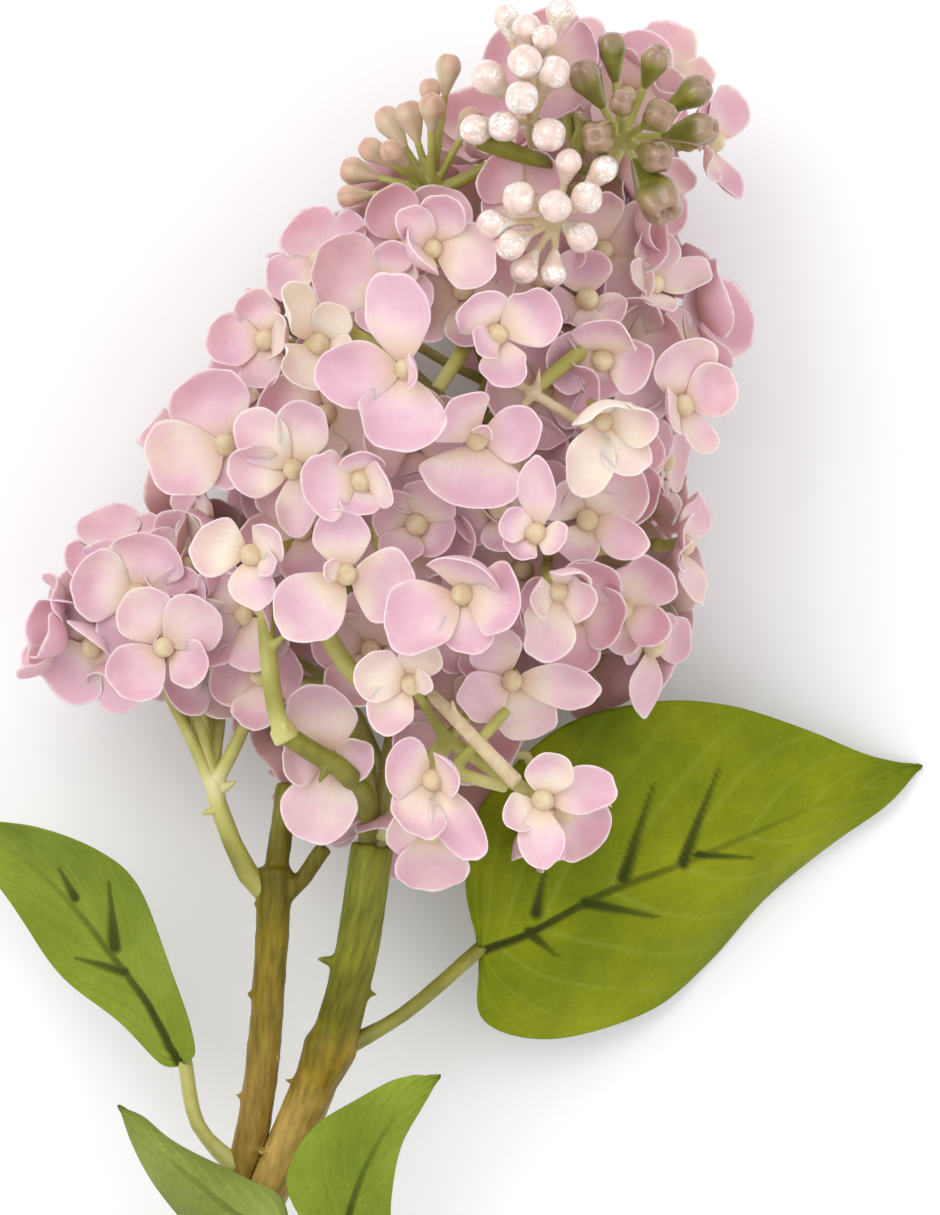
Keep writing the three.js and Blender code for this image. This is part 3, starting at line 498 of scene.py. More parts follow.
def route(points, steps):
    """A smooth line through the points, as steps + 1 places."""
    points = [Vector(p) for p in points]
    padded = [points[0] * 2 - points[1], *points, points[-1] * 2 - points[-2]]
    made = []
    for i in range(steps + 1):
        at = i / steps * (len(points) - 1)
        k = min(int(at), len(points) - 2)
        t = at - k
        a, b, c, d = padded[k:k + 4]
        made.append(0.5 * (2 * b + (c - a) * t + (2 * a - 5 * b + 4 * c - d) * t * t
                           + (3 * b - a - 3 * c + d) * t * t * t))
    return made


def stood(place, way):
    """The matrix that puts a thing at a place with its own Z axis pointing this way."""
    return Matrix.Translation(place) @ way.to_track_quat("Z", "Y").to_matrix().to_4x4()


def add_limb(bm, places, radii, sides):
    """A closed round limb along the places: a ring at each, bridged to the next."""
    before = None
    for i, (place, radius) in enumerate(zip(places, radii)):
        ahead = places[min(i + 1, len(places) - 1)] - places[max(i - 1, 0)]
        ring = bmesh.ops.create_circle(bm, segments=sides, radius=radius, matrix=stood(place, ahead))
        edges = list({edge for vert in ring["verts"] for edge in vert.link_edges})
        if before is None:
            bmesh.ops.contextual_create(bm, geom=edges)
        else:
            bmesh.ops.bridge_loops(bm, edges=before + edges)
        before = edges
    bmesh.ops.contextual_create(bm, geom=before)


def listed(place):
    """A listed place, in the frame."""
    return Vector(place[:3]) * MM + SHIFT


def cut_off(bm, doomed):
    """Takes the vertices away and closes the cuts that this leaves."""
    bmesh.ops.delete(bm, geom=list(doomed), context="VERTS")
    bmesh.ops.holes_fill(bm, edges=[edge for edge in bm.edges if edge.is_boundary], sides=0)


def without_florets(bm, florets):
    """Cuts the moulded florets off a merged stalk at their necks, and closes the cuts."""
    doomed = set()
    for floret in florets:
        forward = floret["axes"][2]
        apex = floret["centre"] + forward * BEAD_APEX
        queue = [min(bm.verts, key=lambda vert: (vert.co - apex).length)]
        while queue:
            vert = queue.pop()
            doomed.add(vert)
            for other in neighbours(vert):
                out = other.co - floret["centre"]
                if other not in doomed and out.dot(forward) > -NECK_CUT and out.length < FLORET_REACH:
                    queue.append(other)
                    doomed.add(other)
    cut_off(bm, doomed)


def fused_piece(name, bm, look, slot, voxel=STALK_VOXEL, swell=STALK_SWELL, rounds=6):
    """One skin over everything in the bmesh, with its joints filled as in a mould."""
    piece = new_piece(name, bm, [look], slot)
    fuse = piece.modifiers.new("fuse", "REMESH")
    fuse.mode = "VOXEL"
    fuse.voxel_size = voxel
    soften = piece.modifiers.new("soften", "SMOOTH")
    soften.factor = 0.5
    soften.iterations = rounds
    grow = piece.modifiers.new("grow", "DISPLACE")
    grow.mid_level = 0
    grow.strength = swell
    graph = bpy.context.evaluated_depsgraph_get()
    mesh = bpy.data.meshes.new_from_object(piece.evaluated_get(graph))
    piece.modifiers.clear()
    mesh.shade_smooth()
    piece.data = mesh
    return piece


SIDE_TRUNK = ((-20.5, -9.5, 45.5), (-25, -5, 46), (-28, 1, 46.5), (-31, 9, 47), (-32, 14, 47.5))
SIDE_TRUNK_RADII = (2.5, 2.2, 1.9, 1.8, 1.8)
SIDE_PLUGGED = ("floret_32", "floret_33", "floret_34", "floret_35")
SIDE_STALK_RADIUS = 1.15 * MM
SIDE_BEND = 0.4
NECK_END = 6.3 * MM


def side_tree(florets):
    """The side branch: a short trunk, and from its end one thin stalk to each floret's neck."""
    bm = bmesh.new()
    trunk = [listed(place) for place in SIDE_TRUNK]
    add_limb(bm, trunk, [radius * MM for radius in SIDE_TRUNK_RADII], 12)
    hub = trunk[-1]
    for floret in florets:
        forward = floret["axes"][2]
        end = floret["centre"] - forward * NECK_END
        bend = end - forward * SIDE_BEND * (end - hub).length
        stalk = route((hub, hub * 0.25 + bend * 0.5 + end * 0.25, end), 10)
        add_limb(bm, stalk, [SIDE_STALK_RADIUS] * len(stalk), 10)
    bmesh.ops.recalc_face_normals(bm, faces=bm.faces)
    return bm


for name in sorted(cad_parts):
    if "stalk" not in name and name != "head_axis":
        continue
    bm = merged_copy(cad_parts[name])
    moulded = read_florets(bm)
    if name == "side_stalk":
        bm.free()
        bm = side_tree(moulded + [floret for node in SIDE_PLUGGED for floret in plugged[node]])
    else:
        without_florets(bm, moulded)
    piece = fused_piece(name + "_moulding", bm, stalk_plastic, "stalks")
    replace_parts(piece, name)
    if moulded:
        # The moulded florets get 0.1 more painted shade.
        tones_and_shades = [(MOULDED_PINKNESS, shade_at(floret, 0.1)) for floret in moulded]
        florets_piece(name + "_florets", moulded, tones_and_shades, name)

# The bowed shoot and the right leaf's stalk are the same polythene, rubbed over with dark olive.
OLIVES = ((0.3, "#63620f"), (0.7, "#8e8a2c"))
olive_plastic = moulded_polythene("olive_rubbed_polythene", 7 * MM, 4.0, OLIVES, {})

# Bare shoots that show between the florets: a thick one bows out of the head stem's mouth and
# carries a paler one on its collar, and short ones cross in the gaps.
OLIVE_SHOOTS = (
    (((-1, -2, 47.5), (-0.4, 5, 50), (-2, 11, 59), (-6, 16, 66.5), (-11.6, 19.4, 69), (-17.8, 23.4, 70)),
     2.3, 2.0),
    (((-9, 16.4, 69), (-10.6, 13.4, 70)), 1.1, 0.3),
    (((38, 137, 66), (33, 138, 71), (27, 140, 73), (21.5, 142.5, 73)), 0.9, 2.4),
)
GREEN_SHOOTS = (
    (((-31.6, 11, 47.5), (-36.4, 22, 48), (-43.5, 36, 48)), 1.3, 1.0),
    (((-31.6, 13, 47.5), (-27.6, 20.5, 48.5), (-23.4, 30, 50)), 1.5, 1.2),
    (((-31, 8, 47.5), (-34.4, 7, 48.5)), 1.2, 0.3), (((-30.4, 12, 47.5), (-27.2, 13.6, 48.5)), 1.2, 0.3),
    (((-16.8, 21.8, 70), (-18.2, 24.6, 70)), 2.75, 2.6),
    (((-17.6, 23, 70.3), (-19, 27, 71), (-20.2, 34, 71), (-21, 42, 69), (-21.6, 52, 65)), 1.9, 1.6),
    (((-10, 45, 66), (-5.5, 37.5, 72), (1, 30, 74)), 1.9, 1.7),
    (((17, 17, 74), (22, 22.5, 76), (27, 28, 74)), 1.2, 1.1),
    (((17, 15.5, 74), (21.5, 14, 76), (27, 12.5, 75)), 1.3, 1.2),
    (((46, 103, 66), (39, 97.5, 75), (32.5, 92, 76)), 1.7, 1.3),
    (((20, 103, 64), (17, 98, 71), (13, 92, 73)), 1.5, 1.4),
    (((-12, 105, 76), (-6, 103.4, 75), (2, 101, 70)), 2.0, 1.3),
    (((0.5, 70, 66), (1.6, 62, 70), (2, 56, 66)), 1.6, 1.5),
    (((-17.8, 27, 71), (-17, 23.6, 73.4)), 0.8, 0.2),
    (((-19.8, 33, 71), (-23.4, 34, 72)), 0.9, 0.2),
    (((-20.6, 40, 70), (-16.4, 44, 72)), 1.1, 0.3),
)
CREAM_SHOOTS = (
    (((11, 32, 70), (15, 28, 75.5), (22, 20.6, 78), (29, 13.4, 79)), 1.2, 1.6),
    (((17, 25.6, 77), (16, 30, 78)), 0.9, 0.3),
    (((25, 95, 70), (32, 91.4, 77), (44, 84, 74)), 0.9, 1.1),
    (((33, 92, 76.6), (33.5, 96.5, 78)), 1.0, 0.2),
    (((32, 91, 76.6), (29, 87, 78)), 1.1, 0.3),
    (((20, 72, 64), (23, 66, 68), (27, 61, 66)), 1.7, 1.5),
)
SHOOT_SIDES = 12
for name, shoots, look in (
    ("olive", OLIVE_SHOOTS, olive_plastic),
    ("green", GREEN_SHOOTS, stalk_plastic),
    ("cream", CREAM_SHOOTS, bead_plastic),
):
    bm = bmesh.new()
    for points, first, last in shoots:
        steps = 4 * (len(points) - 1)
        radii = [(first + (last - first) * i / steps) * MM for i in range(steps + 1)]
        add_limb(bm, route([listed(point) for point in points], steps), radii, SHOOT_SIDES)
    bmesh.ops.recalc_face_normals(bm, faces=bm.faces)
    fused_piece(name + "_shoots", bm, look, "stalks")

# ---- The inner and side florets ----
# Between the branches the head is filled with more florets of the same moulding, each on its
# own thin stalk from the core. They are painted darker, as painted shade, so that the head looks deep.
CORE = ((-1.2, -7, 47.5), (3, 14, 48), (14, 66, 47), (30, 110, 46), (42, 144, 45))
SIDE_ROOT = ((-32, 14, 47.5), (-33, 22, 46))
THIN_STALK = 1.05 * MM
THIN_NECK_END = 6.5 * MM
THIN_BEND = 0.35
ROOT_BELOW = 14
CORE_HEIGHT = 46
# Each row is a floret's place in millimetres and the way that it faces.
RIGHT_FLORETS = (
    (56, 40, 30, 0.9, -0.3, -0.2), (57, 53, 28, 1, 0, -0.2), (49, 80, 46, 1, 0, 0.2),
    (55, 68, 26, 0.95, 0, -0.3), (58, 96, 30, 0.95, 0.1, -0.3), (53, 96, 14, 0.6, 0, -0.8),
    (64, 108, 38, 0.9, 0.3, -0.1), (55, 119, 24, 0.8, 0.4, -0.4), (54, 130, 46, 0.9, 0.2, 0.3),
    (46, 56, 14, 0.6, 0, -0.8), (49, 85, 64, 0.6, -0.1, 0.7),
)
LEFT_FLORETS = (
    (-16, 21, 28, -0.8, -0.5, -0.2), (-29, 36, 26, -0.9, -0.2, -0.3), (-33, 58, 30, -0.9, 0, -0.3),
    (-33, 62, 54, -0.9, 0, 0.3), (-37, 77, 26, -0.9, 0.1, -0.3), (-21, 92, 48, -0.9, 0.2, 0.3),
    (-19, 106, 32, -0.8, 0.5, -0.2), (-9, 118, 30, -0.6, 0.7, -0.3), (6, 131, 28, -0.3, 0.7, -0.5),
    (-22, 52, 14, -0.6, 0, -0.8), (-20, 88, 14, -0.6, 0, -0.8), (-25, 47, 60, -0.6, -0.2, 0.7),
)
END_FLORETS = (
    (5, 5, 44, -0.2, -0.9, 0.2), (36, 9, 40, 0.5, -0.8, -0.1), (19, 15, 28, 0, -0.8, -0.5),
    (-8, 13, 28, -0.5, -0.7, -0.4), (24, 140, 38, -0.2, 0.8, 0.4), (50, 147, 28, 0.2, 0.8, -0.3),
    (34, 143, 24, 0, 0.6, -0.7), (54, 138, 26, 0.8, 0.3, -0.4), (36, 157, 60, -0.1, 0.3, 1),
    (51, 151, 48, 0.1, 0.2, 1),
)
INNER_FLORETS = (
    (0, 40, 62, -0.2, 0, 1), (17, 27, 56, 0.1, -0.2, 1), (20, 44, 66, 0, 0, 1), (40, 47, 66, 0.2, 0, 1),
    (-14, 64, 66, -0.2, 0, 1), (8, 62, 70, 0, 0, 1), (28, 76, 68, 0.1, 0, 1), (46, 74, 62, 0.3, 0, 1),
    (-9, 87, 66, -0.2, 0.1, 1), (8, 82, 72, 0, 0, 1), (34, 92, 68, 0, 0, 1), (18, 112, 66, 0, 0.1, 1),
    (34, 114, 62, 0.1, 0.1, 1), (46, 120, 56, 0.3, 0.2, 1), (-4, 103, 60, -0.2, 0.1, 1),
    (8, 122, 56, -0.2, 0.3, 1), (49, 99, 56, 0.3, 0, 1), (30, 56, 64, 0.1, 0, 1), (-16, 77, 56, -0.4, 0, 1),
)
CLUSTER_FLORETS = (
    (-56, 41, 44, -0.5, -0.5, 0.7), (-47, 51, 54, -0.1, 0.1, 1), (-30, 56, 44, 0.2, 0.3, 0.9),
    (-55, 46, 30, -0.7, 0.1, -0.6), (-34, 45, 34, 0.3, -0.3, -0.8), (-44, 38, 38, -0.1, -0.8, 0.3),
    (-32, 38, 50, 0.1, -0.3, 0.9), (-46, 54.5, 32, -0.2, 0.8, -0.3),
)
INNER_PINKNESS = (0.7, 1.0)
PETAL_LENGTHS = (11.5, 14.5)
PETAL_WIDTHS = (0.82, 1.0)
PETAL_PITCHES = (2, 30)
PETAL_SKEWS = (-0.12, 0.12)
ALONG_HEAD = Vector((0.1, 1, 0.05))


def made_floret(place, facing, rng):
    """A floret of the common moulding: four near-equal petals."""
    forward = Vector(facing).normalized()
    right = ALONG_HEAD.cross(forward).normalized()
    up = forward.cross(right)
    start = rng.uniform(0, math.tau)
    petals = []
    for i in range(4):
        length = rng.uniform(*PETAL_LENGTHS) * MM
        angle = start + i * math.tau / 4 + rng.uniform(*PETAL_SKEWS)
        pitch = math.radians(rng.uniform(*PETAL_PITCHES))
        petals.append((angle, length, pitch, length * rng.uniform(*PETAL_WIDTHS)))
    return {"centre": listed(place), "axes": (right, up, forward), "petals": petals}


core_line = route(CORE, 40)
# The third column is how much more painted shade each group's florets get.
for name, rows, extra_shade, roots in (
    ("side_florets_right", RIGHT_FLORETS, -0.1, core_line),
    ("side_florets_left", LEFT_FLORETS, 0.0, core_line),
    ("end_florets", END_FLORETS, 0.0, core_line),
    ("inner_florets", INNER_FLORETS, 0.2, core_line),
    ("cluster_florets", CLUSTER_FLORETS, -0.1, [Vector(place) for place in SIDE_ROOT]),
):
    rng = Random(name)
    florets = [made_floret(row, row[3:], rng) for row in rows]
    tones_and_shades = [(rng.uniform(*INNER_PINKNESS), shade_at(floret, extra_shade)) for floret in florets]
    florets_piece(name, florets, tones_and_shades, name)
    stalks = bmesh.new()
    for row, floret in zip(rows, florets):
        forward = floret["axes"][2]
        end = floret["centre"] - forward * THIN_NECK_END
        below = Vector((row[0], row[1] - ROOT_BELOW, CORE_HEIGHT))
        root = listed(min(roots, key=lambda place: (place - below).length))
        bend = end - forward * THIN_BEND * (end - root).length
        stalk = route((root, root.lerp(bend, 0.6), end.lerp(bend, 0.45), end), 8)
        add_limb(stalks, stalk, [THIN_STALK] * len(stalk), 7)
    bmesh.ops.recalc_face_normals(stalks, faces=stalks.faces)
    new_piece(name + "_stalks", stalks, [stalk_plastic], "stalks")

# ---- The stems ----
# The stems are wire sheathed in polythene tube, drawn over it warm, with small snags where
# twigs were left off. The colour is rubbed on: sage at the head, olive, then bark brown.
STEM_VOXEL = 0.5 * MM
STEM_SWELL = 0.2 * MM
STEM_ROUNDS = 14
# Each snag is its place in millimetres, the way that it points and its reach from the middle.
SNAGS = (
    (-6, -23, 46, -1, 0.2, 0.3, 5.6), (-4, -30, 45, 1, 0.2, 0.2, 5.2),
    (-9, -41, 42, 1, -0.1, 0.5, 6.6), (-8.6, -38.6, 42, -0.3, 0.3, 1, 6),
    (-12, -48, 41, -1, 0.3, 0.4, 6.2), (-14, -52, 40, 0.6, 0, 0.8, 5.6),
    (-18, -61, 38, -0.9, 0, 0.6, 6), (-21.5, -68, 36, 0.8, 0, 0.6, 6),
    (-21, -30, 43, -1, 0.2, 0.2, 4.6), (-22, -42, 41, 0.9, 0, 0.6, 4.6),
    (-23, -50, 39, -1, 0.1, 0.4, 4.8), (-20, -8, 45.5, 1, 0.4, 0.3, 4.9),
    (-20, -12, 45, -0.9, 0.3, 0.6, 4.8), (-26, -65, 36, -0.8, 0, 0.7, 4.8),
    (-33, -100, 27, 1, 0.2, 0.4, 6.4), (-36, -126, 20, -1, 0, 0.3, 6.2),
    (-37.5, -144, 16, 0.7, 0, 0.7, 6), (-41, -172, 9, -0.8, 0, 0.6, 5.8),
)
SNAG_ROOT = 1.7 * MM
SNAG_END = 0.35 * MM
BARK_RELIEF = 0.22 * MM
KNOTS = Vector((260, 60, 260))
RINGS = Vector((60, 420, 60))
# Each stem's lean from the Y axis in degrees, for its grain, and its colours from foot to top.
STEMS = {
    # The head stem's light tan at 0.3, near its foot, is partly its own colour and partly a painted
    # highlight.
    "head_stem": (-18, ((0.0, "#b5935a"), (1.0, "#83862c"), (0.3, "#bc9c52"), (0.5, "#86701c"),
                        (0.62, "#625d0c"), (0.85, "#75781f"))),
    "side_stem": (-4, ((0.0, "#9e7e3a"), (1.0, "#7a7726"), (0.35, "#907532"), (0.65, "#7a6b17"),
                       (0.82, "#605610"))),
    "main_stem": (-6, ((0.0, "#957840"), (1.0, "#ab8b42"), (0.5, "#987a34"))),
}

for name, (lean, stops) in STEMS.items():
    low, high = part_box(name)
    # Drawn polythene tube, semi-matt, with its rubbed-on colour breaking up along the grain.
    sheath, tree, shader = new_material(name + "_drawn_polythene", {
        "Roughness": 0.42, "IOR": 1.5, "Specular IOR Level": 0.18,
    })
    own = put(tree, "TexCoord").outputs["Object"]
    split = put(tree, "SeparateXYZ", {0: own})
    blotch = put(tree, "TexNoise", {"Vector": own, "Scale": 1 / (9 * MM), "Detail": 4.0})
    along = put(tree, "MapRange", {0: split.outputs[1], 1: low.y, 2: high.y})
    mixed = put(tree, "Math", {0: blotch, 1: 0.34, 2: along}, operation="MULTIPLY_ADD")
    moved = put(tree, "Math", {0: mixed, 1: 0.17}, operation="SUBTRACT", use_clamp=True)
    barks = put(tree, "ValToRGB", {0: moved}, stops=stops)
    drawn_out = {0: own, 2: (0, 0, math.radians(lean)), 3: (1, 7, 1)}
    stretched = put(tree, "Mapping", drawn_out, vector_type="TEXTURE")
    grain = put(tree, "TexNoise", {"Vector": stretched, "Scale": 1 / (1.2 * MM), "Detail": 4.0})
    darks = put(tree, "MapRange", {0: grain, 1: 0.32, 2: 0.66, 3: 0.66, 4: 1.2})
    barked = put(tree, "VectorMath", {0: barks, 3: darks}, operation="SCALE")
    dress(tree, shader, barked, grain, 0.5, 0.3 * MM)
    bm = merged_copy(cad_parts[name])
    for x, y, z, *facing, reach in SNAGS:
        place = listed((x, y, z))
        if not low.y < place.y < high.y or not low.x < place.x < high.x:
            continue
        half_way = stood(place, Vector(facing)) @ Matrix.Translation((0, 0, reach * MM / 2))
        bmesh.ops.create_cone(bm, cap_ends=True, segments=8, radius1=SNAG_ROOT, radius2=SNAG_END,
                              depth=reach * MM, matrix=half_way)
    piece = fused_piece(name + "_sheath", bm, sheath, "stems", STEM_VOXEL, STEM_SWELL, STEM_ROUNDS)
    rough = bmesh.new()
    rough.from_mesh(piece.data)
    for vert in rough.verts:
        relief = noise.noise(vert.co * KNOTS) + 0.5 * noise.noise(vert.co * RINGS)
        vert.co += vert.normal * relief * BARK_RELIEF
    rough.to_mesh(piece.data)
    rough.free()
    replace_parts(piece, name)

# ---- The leaves ----
# Four heart-shaped leaves of woven polyester, printed green with dark veins, stiffened and
# pressed in a hot mould. Each is glued to a polythene stalk that plugs into the stem.
LEAF_LONG = 170
LEAF_WIDE = 110
LEAF_THICKNESS = 0.4 * MM
MAIN_VEIN = 1.5
VEIN_NARROWS = 0.75
VEIN_FADES = 0.35
VEIN_GROOVE = 0.35 * MM
RIB_FADES = 1.9
SIDE_VEINS = 9
FIRST_VEIN = 0.05
VEIN_SLANT = 2.6
FINE_VEIN = 0.09
PUCKER = 0.32 * MM
EDGE_WAVE = 0.54 * MM
EDGE_WAVES = 15
SIDES_LAG = 2
# The petiole starts in a socket, and runs on under the blade as its raised midrib.
PETIOLE_RADIUS = 1.55 * MM
PETIOLE_STEPS = 28
SOCKET_STEPS = 3
NARROWS_FROM = 9
BELOW_BASE = 1.3
BELOW_RIB = 1.7
# The threads are 0.2 mm apart; they are drawn 0.8 mm apart, because finer ones wouldn't show.
THREAD_GAP = 0.8 * MM
# A leaf is given in millimetres: its stalk's route, where its blade starts, rows of left edge,
# midrib and right edge, its tip, and its dark veins as start, end and width.
LEAVES = {
    "leaf_right": {
        "petiole": ((-8, -41, 43), (6, -33.4, 40)),
        "base": (21.6, -21, 34),
        "rows": (
            ((18.6, -6, 37), (24, -20, 33.6), (22.1, -34.4, 24)),
            ((22, 9, 38), (32, -17, 31.5), (36, -38.7, 15)),
            ((37.6, 24, 38), (47, -9, 28.5), (55, -33.4, 6)),
            ((55.6, 29.4, 34), (63, -3, 24), (67.6, -23.2, 0.8)),
            ((71, 29, 28), (78, 3.5, 19), (79.2, -10.8, 0.8)),
            ((87, 24, 20), (92, 9.5, 13.5), (92.8, 0.6, 3.5)),
            ((100, 18.7, 10), (103, 13.5, 7.5), (104, 8.8, 3.5)),
        ),
        "tip": (111, 16.4, 0.6),
        "veins": (
            ((33, -13), (34.6, -4), 1.9), ((50.6, -6), (56.6, 13), 2.1), ((62.6, -3), (69.6, 16), 2.0),
            ((31.6, -17), (37, -21.6), 1.8), ((43, -11), (57.6, -14), 1.8), ((65.6, -1.4), (76.6, -2), 1.3),
        ),
        "face": "olive",
    },
    "leaf_left": {
        "petiole": ((-26.5, -65, 37), (-35, -55.6, 38)),
        "base": (-38.4, -44, 37),
        "rows": (
            ((-43, -43, 35), (-40.8, -40, 38), (-36, -40, 42)),
            ((-51.4, -35, 29), (-45.6, -31, 36), (-40.2, -25, 46)),
            ((-62, -26, 24), (-53, -21, 33), (-46.8, -8.4, 48)),
            ((-70.4, -15, 22), (-61, -11, 31), (-55.4, -0.8, 46)),
            ((-77.4, -6, 22), (-70.5, -2, 29), (-66.4, 4, 40)),
            ((-85, 1.4, 22), (-80, 3, 26), (-78, 5.6, 32)),
        ),
        "tip": (-91, 9, 21),
        "veins": (((-52, -20), (-53, -7), 1.9), ((-60, -10), (-63, -4), 1.5), ((-50, -25), (-60, -22), 1.5)),
        "face": "green",
    },
    "leaf_front_left": {
        "petiole": ((-32.4, -98, 27.2), (-25, -93, 41)),
        "base": (-16, -80, 50),
        "rows": (
            ((-22, -86, 44), (-20, -77.5, 51), (-18, -70, 50)),
            ((-30, -84, 42), (-28, -73, 52), (-25.6, -66, 48)),
            ((-37, -76.6, 41), (-36, -66.4, 51), (-33.8, -61.8, 46)),
            ((-43.6, -67.6, 42), (-43, -60.6, 49), (-41.6, -57.4, 45)),
            ((-48.5, -59, 43), (-47.6, -55.5, 46), (-46.5, -53.5, 44)),
        ),
        "tip": (-51, -51.6, 42),
        "veins": (),
        "face": "back",
    },
    "leaf_front_right": {
        "petiole": ((-33, -104, 25.6), (-19, -99, 40)),
        "base": (-9, -84, 48.5),
        "rows": (
            ((-14.5, -74, 53), (-6, -80, 48), (2, -86, 43)),
            ((-17, -66, 56), (-4.5, -73, 47.5), (3.8, -80, 40)),
            ((-11.6, -56, 55), (-1.5, -64.4, 47), (3.6, -70, 40)),
            ((-1.6, -49.4, 52), (3, -56, 46.5), (5.8, -60.4, 42)),
            ((6.6, -45.8, 48), (8.4, -49.4, 46), (10, -52, 44)),
        ),
        "tip": (13.6, -45.6, 45),
        "veins": (),
        "face": "green",
    },
}


def nearness(point, start, end, width):
    """1 on a printed vein that narrows from its start to its end, and 0 off it."""
    line = end - start
    share = max(0.0, min(1.0, (point - start).dot(line) / line.length_squared))
    away = (point - start - line * share).length
    wide = width * (1 - VEIN_NARROWS * share)
    return eased(1.5 * (1 - away / wide)) * (1 - VEIN_FADES * share)


def leaf_material(name, stops, vein):
    """Printed polyester satin: the green breaks up along the threads, and the veins are printed on."""
    cloth, tree, shader = new_material(name, {"Roughness": 0.62, "Specular IOR Level": 0.1})
    marks = put(tree, "Attribute", attribute_name="leaf_marks")
    split = put(tree, "SeparateXYZ", {0: marks.outputs["Vector"]})
    own = put(tree, "TexCoord").outputs["Object"]
    wash = put(tree, "TexNoise", {"Vector": own, "Scale": 1 / (24 * MM), "Detail": 5.0})
    greens = put(tree, "ValToRGB", {0: wash}, stops=stops)
    across = put(tree, "Mapping", {0: own, 3: (0.25, 1.0, 1.0)})
    weft = put(tree, "TexNoise", {"Vector": across, "Scale": 1 / THREAD_GAP, "Detail": 2.0})
    along = put(tree, "Mapping", {0: own, 3: (1.0, 0.25, 1.0)})
    warp = put(tree, "TexNoise", {"Vector": along, "Scale": 1 / THREAD_GAP, "Detail": 2.0})
    weave = put(tree, "Math", {0: weft, 1: warp}, operation="ADD")
    mottle = put(tree, "MapRange", {0: weave, 1: 0.75, 2: 1.25, 3: 0.93, 4: 1.06})
    woven = put(tree, "VectorMath", {0: greens, 3: mottle}, operation="SCALE")
    faint = put(tree, "Math", {0: split.outputs[1], 1: 0.35}, operation="MULTIPLY")
    fine_vein = {0: faint, 6: woven, 7: linear("#8f9c38")}
    veined = put(tree, "Mix", fine_vein, data_type="RGBA")
    inked = put(tree, "Math", {0: split.outputs[0], 1: vein}, operation="MULTIPLY")
    dark_vein = {0: inked, 6: veined, 7: linear("#2a3006")}
    printed = put(tree, "Mix", dark_vein, data_type="RGBA")
    dress(tree, shader, printed, weave, 0.35, 0.15 * MM)
    return cloth


leaf_looks = {
    "olive": leaf_material("printed_polyester_olive", ((0.3, "#5f6d06"), (0.7, "#8a9210")), 0.95),
    "green": leaf_material("printed_polyester_green", ((0.3, "#6a7b1e"), (0.7, "#889a32")), 0.9),
    "back": leaf_material("printed_polyester_back", ((0.3, "#738037"), (0.7, "#909d4c")), 0.4),
}

for name, leaf in LEAVES.items():
    stations = [(leaf["base"],) * 3, *leaf["rows"], (leaf["tip"],) * 3]
    left, rib, right = (route([row[k] for row in stations], LEAF_LONG) for k in range(3))
    rng = Random(name)
    phase = rng.uniform(0, math.tau)
    bm = bmesh.new()
    marks = bm.verts.layers.float_vector.new("leaf_marks")
    grid = bmesh.ops.create_grid(bm, x_segments=LEAF_LONG, y_segments=LEAF_WIDE, size=1)["verts"]
    normal = (Vector(leaf["tip"]) - Vector(leaf["base"])).cross(right[40] - left[40]).normalized()
    if normal.z < 0:
        normal.negate()
    for vert in grid:
        u = (vert.co.x + 1) / 2
        v = vert.co.y
        k = round(u * LEAF_LONG)
        place = left[k] * (v * (v - 1) / 2) + rib[k] * (1 - v * v) + right[k] * (v * (v + 1) / 2)
        flat = Vector((place.x, place.y))
        spine = (flat - Vector((rib[k].x, rib[k].y))).length / (MAIN_VEIN * (1 - VEIN_NARROWS * u))
        ink = eased(1.5 * (1 - spine)) * min(1.0, max(0.0, 1.5 - RIB_FADES * u))
        for start, end, width in leaf["veins"]:
            ink = max(ink, nearness(flat, Vector(start), Vector(end), width))
        row = (u - FIRST_VEIN) * SIDE_VEINS - abs(v) ** 1.2 * VEIN_SLANT
        beside = abs(row - round(row))
        fine = max(0.0, 1 - beside / FINE_VEIN) * (1 - abs(v)) ** 0.3 if u > 0.02 else 0.0
        swell = math.cos(row * math.tau) * -0.5 * PUCKER * min(1, abs(v) * 4) * (1 - abs(v) ** 4)
        wave = EDGE_WAVE * abs(v) ** 3 * math.sin(math.pi * u)
        wave *= math.sin(u * EDGE_WAVES + phase + (SIDES_LAG if v > 0 else 0))
        vert.co = place * MM + SHIFT + normal * (swell + wave - VEIN_GROOVE * ink)
        vert.co.z = max(vert.co.z, PRESSED)
        vert[marks] = (ink, fine, 0)
    face_towards(bm, list(bm.faces), normal)
    bmesh.ops.remove_doubles(bm, verts=bm.verts, dist=0.02 * MM)
    blade = new_piece(name + "_blade", bm, [leaf_looks[leaf["face"]], leaf_looks["back"]], "leaves")
    cloth = blade.modifiers.new("cloth", "SOLIDIFY")
    cloth.thickness = LEAF_THICKNESS
    cloth.offset = -1
    cloth.material_offset = 1
    cloth.material_offset_rim = 0
    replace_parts(blade, name)

    stalk = bmesh.new()
    under = [place - normal * BELOW_RIB for place in rib[6:66:12]]
    petiole = [*leaf["petiole"], Vector(leaf["base"]) - normal * BELOW_BASE, *under]
    places = [place * MM + SHIFT for place in route(petiole, PETIOLE_STEPS)]
    radii = []
    for i in range(len(places)):
        socket = 1.5 - 0.5 * min(1, i / SOCKET_STEPS)
        narrowing = 1 - 0.75 * max(0, i - NARROWS_FROM) / (PETIOLE_STEPS - NARROWS_FROM)
        radii.append(PETIOLE_RADIUS * socket * narrowing)
    add_limb(stalk, places, radii, 10)
    bmesh.ops.recalc_face_normals(stalk, faces=stalk.faces)
    look = olive_plastic if leaf["face"] == "olive" else stalk_plastic
    new_piece(name + "_petiole", stalk, [look], "leaves")

